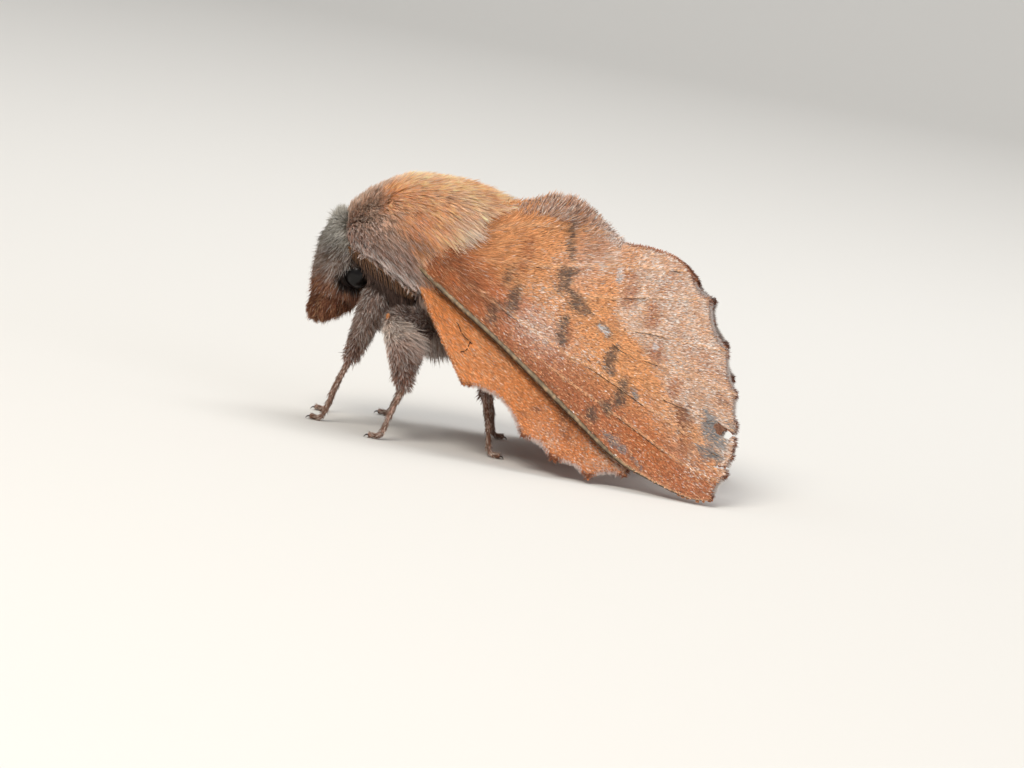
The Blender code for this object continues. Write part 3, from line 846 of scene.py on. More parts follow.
def forewing_lie(spots):
    """Angle of the scales: they fan out with the veins, and rise up the hump."""
    along, up = spots.T
    fan = np.maximum(1.35 * np.arctan2(up - 0.9, along + 1.0), -0.12)
    rise = bump(along, HUMP_AT, 2.2) * (1 - smoothstep(below_ridge(spots) / 1.5))
    return fan + math.radians(45) * rise


def hindwing_lie(spots):
    along, up = spots.T
    return 0.85 * np.arctan2(up - 0.2, along + 0.5)


def marked(tone, spots, marks, lay):
    """Lays each mark over the ground colour, its edge broken by the scales."""
    ragged = spots + 0.14 * (np.stack([noise(spots, 0.2, 3), noise(spots, 0.2, 4)], -1) - 0.5)
    broken = noise(spots, 0.13, 5)
    for name, strength, path in marks:
        weight = strength * stroke(ragged, path) * (0.65 + 0.55 * broken)
        tone = washed(washed(tone, (name, 0.7 * weight)), (name, weight), lay=lay)
    return tone


def bell(spots, along, up, reach, height):
    """1 at a spot, fading to nothing about one reach along and one height up from it."""
    return np.exp(-(((spots[:, 0] - along) / reach) ** 2) - ((spots[:, 1] - up) / height) ** 2)


# The frosted outer part of the forewing begins at these places: up, along
FROST_UP = (0.2, 1.6, 2.27, 2.73, 3.56, 4.45, 6.0, 7.5)
FROST_ALONG = (19.6, 17.2, 15.4, 13.1, 10.6, 9.0, 8.3, 8.1)


def outer_part(spots):
    border = np.interp(spots[:, 1], FROST_UP, FROST_ALONG)
    cloud = noise(spots, 1.1, 1) - 0.5
    return smoothstep((spots[:, 0] - border + 1.8 * cloud + 1.0) / 2.2)


# Patches with more whitish scales: strength, then along, up, reach and height
FROSTED_PATCHES = (
    (0.4, 7.1, 1.2, 1.7, 0.85), (0.35, 6.3, 2.7, 1.0, 0.6), (0.2, 14.2, 1.75, 1.5, 0.5),
    (0.25, 17.2, 0.6, 0.9, 0.6), (0.35, 7.0, 5.2, 1.0, 1.1), (0.2, 10.0, 1.6, 1.2, 0.6),
)


def frosting(spots):
    """Share of whitish scales among the others."""
    fleck = noise(spots, 0.32, 2) - 0.5
    cloud = noise(spots, 0.8, 8) - 0.5
    share = 0.035 + 0.5 * outer_part(spots) * (1 - 0.35 * bell(spots, 15.5, 3.6, 3.0, 1.0))
    for strength, *patch in FROSTED_PATCHES:
        share = share + strength * bell(spots, *patch)
    return np.clip(share * (1 + 0.9 * fleck + 0.5 * cloud), 0, 0.8)


def forewing_ground(spots):
    """The forewing's ground colours, without its marks."""
    along, up = spots.T
    cloud = noise(spots, 1.2, 1) - 0.5
    fleck = noise(spots, 0.3, 2) - 0.5
    streak = noise(spots * (0.35, 1.6), 0.5, 9) - 0.5
    lift = smoothstep((up - 1.0 + 1.6 * cloud + 0.8 * streak) / 1.6)
    outer = outer_part(spots)
    edge = below_ridge(spots)
    crest = np.exp(-(((along - 5.2) / 1.9) ** 4)) * fall(edge, 0.1, 0.8)
    front = up - line_height(COSTA_LINE, along)
    base = fall(along, 2.5, 4) * fall(up, 1.2, 2)
    return washed(
        ground("chestnut", len(spots)),
        ("orange", lift + 0.5 * ramp(along, 6, 4) * ramp(up, 0.1, 1.2)),
        ("rust", 0.5 * bell(spots, 7.5, -0.2, 4.0, 1.1)),
        ("amber", bell(spots, 4.2, 5.0, 2.2, 1.5)),
        ("amber", 0.5 * bell(spots, 9.5, 1.9, 3.5, 0.8)),
        ("rose", 0.8 * bell(spots, 7.1, 1.2, 1.8, 0.9) + 0.6 * bell(spots, 6.9, 4.9, 1.2, 1.6)),
        ("blush", 0.75 * outer + 0.6 * fleck * outer),
        ("rust", 0.3 * ramp(cloud, 0.1, 0.25) * ramp(along, 8, 2)),
        ("mouse", 0.8 * crest),
        ("pearl", 0.7 * bump(along, 7.1, 0.7) * fall(edge, 0, 0.9)),
        ("rust", 0.6 * fall(edge, 0.05, 0.25) * (along > 7.8)),
        ("ember", 0.7 * bell(spots, 14.6, 0.1, 1.9, 0.8)),
        ("mouse", (0.5 + 0.5 * fleck) * bell(spots, 16.2, 1.0, 0.9, 0.5)),
        ("mouse", (0.5 + fleck) * bell(spots, 15.2, 2.3, 1.3, 0.8)),
        ("umber", 0.25 * fall(front, 0.1, 0.35) * (along < 12.5)),
        ("ember", 0.5 * base),
        ("umber", 0.3 * ramp(streak, 0.05, 0.2) * base),
        ("buff", 0.6 * fall(front, 0, 0.18) * (along > 13.5)),
    )


def forewing_pigment(spots, lay, torn):
    tone = forewing_ground(spots)
    for vein in VEINS:  # paler scales along the veins
        off, reach = distance_to(spots, smooth_path(vein, 40))
        tone = washed(tone, ("straw", 0.65 * (bump(off, 0, 0.05) * ramp(reach, 1.5, 3))))
    dusting = frosting(spots)
    tone = washed(tone, ("frost", 0.6 * dusting), ("snow", 0.45 * dusting), lay=lay)
    tone = marked(tone, spots, MARKS + (TORN_MARKS if torn else ()), lay)
    margin = distance_to(spots, forewing_margin(6))[0]
    rim = fall(margin, 0.12, 0.32 * (0.6 + 0.8 * noise(spots, 0.7, 12)))
    return washed(tone, ("umber", 0.85 * rim), lay=lay)


def hindwing_pigment(spots, lay):
    along, up = spots.T
    cloud = noise(spots, 1.3, 11) - 0.5
    tone = washed(
        ground("apricot", len(spots)),
        ("ember", 0.6 * smoothstep((along - 5 + 3 * cloud) / 6)),
        # Painted shade: umber just below the forewing's edge, where the forewing shades the
        # hindwing
        ("umber", 0.35 * fall(line_height(COSTA_LINE, along) - up, 0.1, 0.45)),
    )
    tone = washed(
        tone, ("straw", 0.1 + 0.3 * cloud),
        ("frost", 0.03 + 0.75 * ramp(along, 8.5, 3) * (0.5 + cloud)), lay=lay,
    )
    tone = marked(tone, spots, HINDWING_MARKS, lay)
    near_tooth = fall(gap_to(spots, HINDWING_TEETH), 0.15, 0.45)
    return washed(tone, ("umber", 0.7 * near_tooth * (along > 6)), lay=lay)


def both_wings(kind):
    """The two forewings or the two hindwings."""
    for label, _, side in SIDES:
        if kind == "forewing":
            torn = side < 0
            yield Wing(
                "forewing_" + label, side, forewing_outline(), forewing_skin_out, forewing_lie,
                partial(forewing_pigment, torn=torn), 0.0 if torn else RIGHT_LAG,
                TEARS if torn else (),
            )
        else:
            yield Wing(
                "hindwing_" + label, side, hindwing_outline(), hindwing_skin_out, hindwing_lie,
                hindwing_pigment,
            )


def triangulated(wing, spacing):
    """Spots and triangles that fill a wing's outline around its tears."""
    outline = wing.outline
    low, high = outline.min(0), outline.max(0)
    columns = np.arange(low[0], high[0], spacing)
    rows = np.arange(low[1], high[1], spacing * math.sqrt(3) / 2)
    grid = [(x + (row % 2) * spacing / 2, y) for row, y in enumerate(rows) for x in columns]
    grid = np.array(grid)
    grid = grid[inside(grid, inset(outline, np.full(len(outline), spacing * 0.45)))]
    spots, edges = [], []
    for loop in (outline, *wing.tears):
        first, count = len(spots), len(loop)
        spots += [*loop]
        edges += [(first + k, first + (k + 1) % count) for k in range(count)]
    spots = [Vector(spot) for spot in [*spots, *grid]]
    spots, _, faces, *_ = delaunay_2d_cdt(spots, edges, [], 1, 1e-5)
    spots = np.array([tuple(spot) for spot in spots])
    faces = np.array([tuple(face) for face in faces])
    return spots, faces[wing.has(spots[faces].mean(1))]


def vein_relief(spots):
    """Raised veins, and the soft pleats between them."""
    relief = 0.03 * (noise(spots, 0.8, 5) - 0.5)
    for vein in VEINS:
        relief = relief + 0.05 * bump(distance_to(spots, smooth_path(vein, 30))[0], 0, 0.1)
    return relief


def wing_sheet(wing, spacing, relief):
    """A closed thin sheet: outer face, inner face and the rim between them."""
    spots, faces = triangulated(wing, spacing)
    here, _, _, out = wing.axes(spots)
    height = relief(spots)[:, None]
    points = np.vstack([here + out * height, here + out * (height - sizes()["wing_skin"])])
    count = len(spots)
    corners = spots[faces]
    first, second = corners[:, 1] - corners[:, 0], corners[:, 2] - corners[:, 0]
    turned = first[:, 0] * second[:, 1] - first[:, 1] * second[:, 0] < 0
    faces[turned] = faces[turned][:, ::-1]
    edges = np.concatenate([faces[:, [0, 1]], faces[:, [1, 2]], faces[:, [2, 0]]])
    key, back = edges @ (count, 1), edges @ (1, count)
    a, b = edges[~np.isin(key, back)].T
    walls = np.vstack([np.stack([b, a, a + count], 1), np.stack([b, a + count, b + count], 1)])
    faces = np.vstack([faces, faces[:, ::-1] + count, walls])
    if wing.side > 0:
        faces = faces[:, ::-1]
    tone = wing.pigment(spots, over) * 0.85
    tone = np.vstack([tone, over(tone, hues()["ember"] * 0.85, np.full(count, 0.6))])
    obj = mesh_object(wing.name, points, faces, material_of("wing_membrane"), tone)
    flat = on_map(spots) * (0.48, 1.0)
    lay_out(obj, np.vstack([flat, flat + (0.51, 0.0)]))
    return obj


MAP_LOW, MAP_SPAN = np.array([-0.5, -3.6]), np.array([19.8, 12.0])


def on_map(spots):
    return np.clip((spots - MAP_LOW) / MAP_SPAN, 0.003, 0.994)


def scatter_flat(wing, count, rng):
    """Evenly jittered spots inside a wing."""
    low, high = wing.outline.min(0), wing.outline.max(0)
    x, y = wing.outline.T
    area = abs(np.dot(x, np.roll(y, -1)) - np.dot(y, np.roll(x, -1))) / 2
    step = math.sqrt(area / count)
    columns, rows = np.meshgrid(np.arange(low[0], high[0], step), np.arange(low[1], high[1], step))
    spots = np.stack([columns.ravel(), rows.ravel()], -1)
    spots = spots + step * rng.random(spots.shape)
    return spots[wing.has(spots)]


def hair_share(spots):
    """Where the forewing's scales are long and hair-like: at its base and up the hump."""
    along, up = spots.T
    return np.maximum(fall(along, 2.0, 4.5), ramp(up, 4.2, 1.6) * fall(along, 7.2, 1.6))


def turned_by(angle, length_wise, height_wise):
    """The direction at an angle from the wing's length."""
    return unit(length_wise * np.cos(angle)[:, None] + height_wise * np.sin(angle)[:, None])


def scale_coat(wing, count, seed, outer=True):
    """Scales over one face of a wing, each closed, lying with the veins."""
    rng = np.random.default_rng(seed)
    size = sizes()
    spots = scatter_flat(wing, count, rng)
    if not outer:
        spots = spots[spots[:, 0] > 1.0]
    count = len(spots)
    here, *axes, out = wing.axes(spots)
    angle = wing.lie(spots) + rng.normal(0, 0.15, count)
    along = turned_by(angle, *axes)
    forewing = wing.name.startswith("forewing")
    hair = hair_share(spots) if forewing else 0.55 * fall(spots[:, 0], 2, 9)
    reach = size["scale_length"] + size["scale_hair"] * hair * outer
    reach = reach * rng.uniform(0.7, 1.25, count)
    width = size["scale_width"] * (1 - 0.6 * hair) * rng.uniform(0.75, 1.25, count)
    rise = rng.uniform(0.03, 0.09, count) + 0.05 * hair * rng.random(count)
    relief = vein_relief(spots) if forewing else np.zeros(count)
    if outer:
        root = here + out * (relief - 0.01)[:, None]
        dark = 0.2 - 0.12 * outer_part(spots) * forewing
        tone = washed(
            wing.pigment(spots, strewn(rng)),
            ("straw", (rng.random(count) < 0.22) * rng.uniform(0.2, 0.75, count)),
            ("umber", (rng.random(count) < dark) * rng.uniform(0.2, 0.7, count)),
        )
    else:
        root = here + out * (relief - size["wing_skin"] + 0.01)[:, None]
        out, reach, width = -out, reach * 1.8, width * 3.0
        tone = washed(wing.pigment(spots, over), ("ember", np.full(count, 0.65)))
    heading = np.stack([np.cos(angle), np.sin(angle)], -1)
    on_hump = (spots[:, 1] > 4) & (spots[:, 0] < 7.6) & outer
    past = ~wing.has(spots + heading * reach[:, None] * 0.8) & ~on_hump
    reach = np.where(past, reach * 0.5, reach)
    tone = tone * rng.uniform(0.68, 1.3, count)[:, None]
    forms = scales_at(root, along, out, reach, width, rise)
    name = wing.name + ("_scales" if outer else "_lining")
    return tufts_object(name, forms, SCALE, tone, on_map(spots))


def edge_spots(outline, keep, spacing, rng):
    """Spots along the part of an outline where keep holds, with their outward directions."""
    run = np.roll(outline, -1, axis=0) - outline
    lengths = np.linalg.norm(run, axis=1)
    total = lengths.sum()
    where = np.sort(rng.random(int(total / spacing)) * total)
    ends = np.cumsum(lengths)
    side = np.minimum(np.searchsorted(ends, where), len(outline) - 1)
    share = (where - (ends[side] - lengths[side])) / lengths[side]
    spots = outline[side] + run[side] * share[:, None]
    outwards = unit(np.stack([run[side][:, 1], -run[side][:, 0]], -1))
    kept = keep(spots)
    return spots[kept], outwards[kept]


def forewing_fringe(wing, seed):
    """The hairs that edge the forewing, longest over the hump, white in the bays between teeth."""
    rng = np.random.default_rng(seed)
    spots, outwards = edge_spots(
        wing.outline, lambda s: fringe_of_forewing(s) > 0.04, FOREWING_FRINGE_STEP, rng
    )
    reach = fringe_of_forewing(spots)
    hump = reach / sizes()["hump_fringe"] * (spots[:, 0] < 8) * (spots[:, 1] > 2)
    back = rng.random(len(spots)) ** 1.2 * (0.12 + 0.95 * hump)
    roots = spots - outwards * back[:, None]
    kept = wing.has(roots)
    spots, outwards, roots, reach, hump = (a[kept] for a in (spots, outwards, roots, reach, hump))
    along, up = spots.T
    count = len(spots)
    tone = washed(
        ground("mouse", count),
        ("rose", rng.random(count) * 1.2 - 0.1),
        ("shadow", 0.75 * (rng.random(count) < 0.3)),
        ("rust", 0.9 * (along > np.where(up > 4, 8.4, 11.3))),
    )
    outer = ramp(along, 11.5, 0.4)
    bay = ramp(gap_to(spots, TERMEN_TEETH), 0.22, 0.3)
    white = rng.random(count) < (0.15 + 0.85 * bay)
    flank = bump(along, 7.3, 0.9) * (up > 5)
    tone = washed(
        tone, ("umber", outer), ("snow", (rng.random(count) < 0.8 * flank) * 0.9)
    )
    tone[(rng.random(count) < 0.2) & (along < 7.6)] = hues()["frost"]
    return fringe_object(wing, roots, outwards, reach, 0.9 * hump, tone, outer * white, rng)


def hindwing_fringe(wing, seed):
    """Short hairs round the hindwing, white in the bays."""
    rng = np.random.default_rng(seed)
    spots, outwards = edge_spots(
        wing.outline, lambda s: (fringe_of_hindwing(s) > 0.04) & (s[:, 0] > 1.7),
        HINDWING_FRINGE_STEP, rng,
    )
    count = len(spots)
    roots = spots - outwards * (rng.random(count) * 0.12)[:, None]
    near_tooth = gap_to(spots, HINDWING_TEETH)
    bay = ramp(near_tooth, 0.3, 0.35) * ramp(spots[:, 0], 5.5, 0.5)
    tone = washed(ground("ember", count), ("umber", 0.75 * (near_tooth < 0.5)))
    white = rng.random(count) < 0.1 + 0.9 * bay
    front = (spots[:, 0] < 5.6) & (rng.random(count) < 0.4)
    tone[front] = hues()["buff"]
    reach = fringe_of_hindwing(spots)
    return fringe_object(wing, roots, outwards, reach, np.zeros(count), tone, white & ~front, rng)


def fringe_object(wing, roots, outwards, reach, sweep, tone, white, rng):
    """Fringe hairs at roots, with white tips on those where white is 1.

    sweep turns them from straight outwards, at 0, to the scales' lie.
    """
    count = len(roots)
    here, *axes, out = wing.axes(roots)
    straight = np.arctan2(outwards[:, 1], outwards[:, 0])
    turn = (wing.lie(roots) - straight + math.pi) % (2 * math.pi) - math.pi
    angle = straight + np.clip(turn, -1.1, 1.1) * (0.25 + 0.6 * sweep) + rng.normal(0, 0.1, count)
    full = ((reach * 1.1 + 0.06) * rng.uniform(0.6, 1.05, count))[:, None]
    run = turned_by(angle, *axes)
    root = here + out * rng.uniform(-sizes()["wing_skin"], 0.03, count)[:, None]
    sway = rng.normal(0, 0.07, count)[:, None] * full
    middle = root + run * full * 0.45 + out * (0.03 + 0.12 * sweep[:, None] + sway * 0.5)
    tip = root + run * full + out * (0.02 + 0.1 * sweep[:, None] + sway)
    width = (0.026 + 0.004 * sweep) * rng.uniform(0.75, 1.25, count)
    tone = tone * rng.uniform(0.85, 1.15, count)[:, None]
    # Tips are painted a tenth lighter as light; their snow is the fringe's own white
    middles, tips = washed(tone, ("snow", 0.5 * white)), washed(tone * 1.1, ("snow", white))
    forms = locks_at(root, middle, tip, width)
    return tufts_object(wing.name + "_fringe", forms, LOCK, middles, on_map(roots), tips)


def vein_cracks(wing, lines, gap, seed, thickness=1.0, start=30, from_along=5):
    """Hairline breaks in the scales along some lines, from a step and a place on, their darkness
    painted as shade by near-black strands.
    """
    rng = np.random.default_rng(seed)
    ends = []
    for number, points in enumerate(lines):
        line = smooth_path(points, 160)
        steps = np.arange(len(line))
        gate = noise(np.stack([steps, 0 * steps], -1), 14.0, 60 + number)
        for step in range(start, len(line) - 6, 3):
            if gate[step] > gap and line[step, 0] > from_along:
                ends.append((line[step] + (0, -0.1), line[step + 5] + (0, -0.1)))
    ends = np.array(ends)
    ends = ends[wing.has(ends[:, 0]) & wing.has(ends[:, 1])]
    starts, count = ends[:, 0], len(ends)
    first, _, _, out = wing.axes(starts)
    relief = vein_relief(starts) if wing.name.startswith("forewing") else 0.0
    lift = (relief + rng.uniform(0.05, 0.09, count))[:, None]
    root, tip = first + out * lift, wing.at(ends[:, 1]) + out * lift
    thick = rng.uniform(0.03, 0.05, count) * thickness
    forms = locks_at(root, (root + tip) / 2, tip, thick)
    # Near-black: the shade in each break is painted
    tone = hues()["soot"][None] * rng.uniform(0.15, 0.5, count)[:, None]
    return tufts_object(wing.name + "_cracks", forms, LOCK, tone, on_map(starts))


def even_turns(count):
    return np.linspace(0, 2 * math.pi, count, endpoint=False)


def tube(path, radii, sides):
    """Points and triangles of a closed tube round a path, with the radius at each point."""
    path = np.asarray(path, float)
    along = unit(np.gradient(path, axis=0))
    helper = np.where(np.abs(along[:, 2:3]) > 0.9, (1.0, 0.0, 0.0), (0.0, 0.0, 1.0))
    across = unit(np.cross(along, helper))[:, None]
    third = np.cross(along[:, None], across)
    turns = even_turns(sides)[None, :, None]
    spokes = across * np.cos(turns) + third * np.sin(turns)
    points = path[:, None] + spokes * np.asarray(radii)[:, None, None]
    points = np.vstack([points.reshape(-1, 3), path[0], path[-1]])
    a, b = ring_corners(len(path), sides)
    walls = np.stack([a, b + sides, b, a, a + sides, b + sides], -1)
    first, top = np.full(sides, len(points) - 2), (len(path) - 1) * sides
    caps = np.stack([first, a[0], b[0], first + 1, top + b[0], top + a[0]], -1)
    return points, np.vstack([walls.reshape(-1, 3), caps.reshape(-1, 3)])[:, ::-1]


def ring_corners(count, sides):
    """Numbers of the points on all rings but the last, and of each one's neighbour on its ring."""
    grid = np.arange((count - 1) * sides).reshape(-1, sides)
    return grid, np.roll(grid, -1, axis=1)


def horn_piece(name, slot, material, parts, *nodes):
    """One piece of (points, faces, colours) parts."""
    points, faces, tones = zip(*parts)
    firsts = np.cumsum([0] + [len(part) for part in points])
    faces = [part + first for part, first in zip(faces, firsts)]
    tones = [np.broadcast_to(tone, part.shape) for tone, part in zip(tones, points)]
    obj = mesh_object(
        name, np.vstack(points), np.vstack(faces), material_of(material), np.vstack(tones)
    )
    return add_piece(obj, slot, *nodes)


ROD_SIDES, ROD_RADIUS = 10, 0.14


def costal_rod(wing):
    """The thick beaded vein that stiffens the forewing's front edge."""
    here, _, _, out = wing.axes(smooth_path(COSTA, 220, 0.15, 6.6))
    centre = here - out * 0.05
    share = np.linspace(0, 1, len(here))
    beads = 1 + 0.12 * (noise(np.stack([share * 60, share * 0], -1), 1.0, 31) - 0.5)
    radii = (ROD_RADIUS - 0.095 * ramp(share, 0.4, 0.5)) * beads
    points, faces = tube(centre, radii, ROD_SIDES)
    speck = noise(points, 0.12, 32)
    spokes = unit(points[:-2] - centre.repeat(ROD_SIDES, 0))
    # Painted light and shade: the side facing out is olive as light, the rest walnut as shade
    lit = ramp((spokes * out.repeat(ROD_SIDES, 0)).sum(1), 0.45, 0.5)
    lit = np.concatenate([lit, [0.5, 0.5]])
    tone = washed(
        ground("walnut", len(points)),
        ("olive", lit * (0.2 + 0.7 * speck)), ("straw", 0.3 * ramp(speck, 0.6, 0.3)),
    )
    return horn_piece(wing.name + "_costa", "forewing", "limb_chitin", [(points, faces, tone)])


# --- body ---

BODY_DEPTH = 0.5  # depth of the fur on the trunk
HEAD_DEPTH = 0.4
LIMB_DEPTH = 0.36  # share of a limb's half size that is fur
LIMB_SIDES = 20
SKIN_GRAIN = 0.11  # distance between the points of the body's skin


def sagittal_rings(sections, shoulder, sides, depth):
    """Rings round the midline, drawn in by the depth of the fur."""
    rings = []
    turns = even_turns(sides)
    lift = np.cos(turns)
    for top_x, top_z, bottom_x, bottom_z, half_width in sections:
        top, bottom = np.array([top_x, top_z]), np.array([bottom_x, bottom_z])
        inwards = unit(bottom - top) * min(depth, np.linalg.norm(bottom - top) * 0.35)
        top, bottom = top + inwards, bottom - inwards
        width = max(half_width - depth, 0.3 * half_width) * np.sin(turns) * (1 + shoulder * lift)
        middle, half = (top + bottom) / 2, (top - bottom) / 2
        rings.append(np.stack([middle[0] + half[0] * lift, width, middle[1] + half[1] * lift], -1))
    return np.array(rings)


def limb_rings(path, side):
    """Rings round a limb's stations, square to its path and drawn in by the share that is fur."""
    centres = path[:, :3] * (1, side, 1)
    along = unit(np.gradient(centres, axis=0))
    across = unit(np.array([0.0, 1.0, 0.0]) - along * along[:, 1:2])
    forward = np.cross(across, along)
    turns = even_turns(LIMB_SIDES)[None, :, None]
    half = path[:, 3:5] * (1 - LIMB_DEPTH)
    spokes = np.cos(turns) * (forward * half[:, :1])[:, None]
    return centres[:, None] + (spokes + np.sin(turns) * (across * half[:, 1:])[:, None])


def ring_faces(count, sides):
    """The quads between rings, and the two ends."""
    a, b = ring_corners(count, sides)
    quads = np.stack([a, b, b + sides, a + sides], -1).reshape(-1, 4)
    return [range(sides)[::-1], range((count - 1) * sides, count * sides), *quads.tolist()]


def body_forms():
    """Every fleshy form as (label, rings): what the one skin is drawn over."""
    forms = [
        ("head", sagittal_rings(smooth_path(HEAD, 30, 0.75, 6.6), 0.0, 36, HEAD_DEPTH)),
        ("thorax", sagittal_rings(smooth_path(TRUNK, 40), SHOULDER, 44, BODY_DEPTH)),
        ("abdomen", sagittal_rings(smooth_path(ABDOMEN, 40, 0.0, 5.8), 0.0, 36, BODY_DEPTH)),
    ]
    for label, _, side in SIDES:
        forms.append(("palp_" + label, limb_rings(smooth_path(PALP, 20, 0, 2.7), side)))
        for place, path in LEGS.items():
            forms.append((f"leg_{place}_{label}", limb_rings(smooth_path(path, 36), side)))
    return forms


def skinned(forms):
    """One closed skin over all the forms."""
    points, faces = np.vstack([rings.reshape(-1, 3) for _, rings in forms]), []
    first = 0
    for _, rings in forms:
        part, step = rings.reshape(-1, 3), 1
        part_faces = ring_faces(*rings.shape[:2])
        if signed_volume(part, part_faces) < 0:
            step = -1
        faces += [tuple(corner + first for corner in face[::step]) for face in part_faces]
        first += len(part)
    rough = bpy.data.meshes.new("rough")
    rough.from_pydata(points.tolist(), [], faces)
    holder = link(bpy.data.objects.new("rough", rough))
    merge = holder.modifiers.new("One skin", "REMESH")
    merge.mode = "VOXEL"
    merge.voxel_size = SKIN_GRAIN  # millimetres, as the rough form is 1000 times life size
    even = holder.modifiers.new("Soften", "SMOOTH")
    even.factor = 0.5
    even.iterations = 8
    bpy.context.view_layer.update()
    drawn = holder.evaluated_get(bpy.context.evaluated_depsgraph_get())
    mesh = bpy.data.meshes.new_from_object(drawn)
    bpy.data.objects.remove(holder)
    return mesh


def signed_volume(points, faces):
    total = 0.0
    for face in faces:
        for second, third in zip(face[1:], face[2:]):
            total += np.dot(points[face[0]], np.cross(points[second], points[third]))
    return total


def on_body(forms, points):
    """For each point: its form's number, its shares along and round it, and the form's run."""
    known = []
    for number, (_, rings) in enumerate(forms):
        count, sides = rings.shape[:2]
        run = unit(np.gradient(rings.mean(1), axis=0))
        known.append((
            rings.reshape(-1, 3), np.full(count * sides, number),
            np.repeat(np.arange(count) / (count - 1), sides),
            np.tile(np.arange(sides) / sides, count), np.repeat(run, sides, axis=0),
        ))
    corners, *columns = (np.concatenate(column) for column in zip(*known))
    near = nearest_of(corners, points)
    return [column[near] for column in columns]


def body_pigment(points, label, share):
    """The fur's colour at points of one form, with painted shade round the eyes and where the legs
    meet the body, and painted light high on the thorax's sides.
    """
    x, y, z = points.T
    out = np.abs(y)
    cloud = noise(points, 0.9, 41) - 0.5
    tuft = noise(points, 0.35, 42) - 0.5
    count = len(points)
    if label == "head":
        return washed(
            ground("smoke", count),
            ("ash", smoothstep((z - 8.6 + cloud) / 1.0)),
            ("ash", 0.5 * smoothstep((9.0 - z) / 2) * (tuft > 0)),
            ("dusk", 0.4 * smoothstep((9.0 - z + cloud) / 1.2)),
            ("umber", 0.8 * smoothstep((7.9 - z + 0.5 * cloud + 0.5 * tuft) / 1.2)),
            ("cocoa", 0.6 * smoothstep((7.0 - z + 0.4 * cloud) / 0.9)),
            # Painted shade: a dark ring round each eye, like a shadowed socket
            ("walnut", ramp(near_eye(points), 0.76, 0.2)),
        )
    if label.startswith("palp"):
        return washed(ground("cocoa", count), ("umber", 0.3 + 0.9 * tuft))
    if label == "abdomen":
        return washed(
            ground("dusk", count),
            ("shank", smoothstep((7.4 - z + 0.35 * (x + 1)) / 2.0)),
            ("honey", 0.6 * smoothstep((z - 7.6 + 0.7 * x) / 1.5)),
        )
    if label.startswith("leg"):
        middle = 1.0 * ("mid" in label)
        return washed(
            ground("shank", count),
            # Painted shade where the leg meets the body, and darker tufts here and there
            ("shadow", 0.35 * smoothstep((0.2 - share) / 0.2) + 0.3 * tuft),
            ("dusk", 0.7 * middle * bump(share, 0.62, 0.14)),
            ("cream", 0.4 * middle * bump(share, 0.5, 0.1)),
            ("umber", 0.55 * ramp(share, 0.62, 0.25)),
        )
    low = smoothstep((10.6 - z + cloud) / 1.4)
    side = washed(ground("mouse", count), ("dusk", low + 0.4 * tuft))
    # Painted light and shade: the sides a fifth lighter high up, a tenth darker low down
    side = side * (1.2 - 0.3 * smoothstep((10.6 - z) / 1.4))[:, None]
    back = washed(
        ground("honey", count),
        ("buff", ramp(z, 11.4, 1.0) + ramp(x, -4.4, 1.2)),
        ("chestnut", 0.35 * (bump(x, -6.6, 1.1) * bump(z, 10.6, 0.8))),
        ("amber", 0.35 * ramp(cloud, -0.1, 0.4)),
    )
    border = np.interp(z, (6.0, 9.15, 10.2, 12.3), (-5.2, -6.2, -7.4, -8.7))
    behind = smoothstep((x - border + 1.0 * cloud + 0.7 * tuft + 0.5) / 1.3)
    tegula = np.exp(-(((x + 6.4) / 0.9) ** 2) - ((z - 9.9 + 0.3 * (x + 6.4)) / 0.3) ** 2)
    return washed(
        over(side, back * 1.12, behind),
        ("cream", 0.95 * (bump(x, -3.9, 1.0) * bump(z, 10.6, 0.8) * ramp(out, 1.0, 0.6))),
        ("umber", 0.65 * tegula * ramp(out, 1.3, 0.4)),
        ("shank", smoothstep((7.4 - z + cloud) / 1.3)),
    )


def lie_field(points, label, share, run):
    """Which way the fur lies, before it is laid on the skin."""
    x, y, z = points.T
    side = np.clip(y / 0.7, -1, 1)
    count = len(points)
    if label == "head":
        brow = 0.6 * near_eye(points)[:, None] * ramp(z, 7.3, 0.5)[:, None]
        top = ramp(z, 9.6, 0.4)[:, None]
        down = np.stack([np.full(count, -0.3), side * 0.1, np.full(count, -1.0)], -1)
        up = np.stack([np.full(count, -0.1), side * 0.3, np.full(count, 0.5)], -1)
        return down * (1 - top) + up * top + brow * np.array([1.1, 0.0, 0.2])
    if label.startswith("palp"):
        return 0.5 * run + np.array([0.1, 0.0, -0.7])
    if label.startswith("leg_mid"):
        fan = bump(share, 0.54, 0.16)[:, None]
        return run + fan * np.array([1.3, 0.0, 0.0]) + np.array([0.1, 0.0, -0.1])
    if label.startswith("leg"):
        return run + np.array([0.25, 0.0, -0.15])
    if label == "abdomen":
        return run + np.array([0.2, 0.0, -0.1])
    out = np.abs(y) / 2.5
    low = smoothstep((8.6 - z) / 1.6)
    collar = smoothstep((-7.6 - x) / 1.4) * ramp(z, 9.0, 1.2)
    along = 1.0 - 0.5 * low - 0.45 * collar
    down = -0.15 - 0.6 * out - 0.9 * low + 0.35 * collar
    return np.stack([along, side * (0.1 + 0.2 * collar), down], -1)


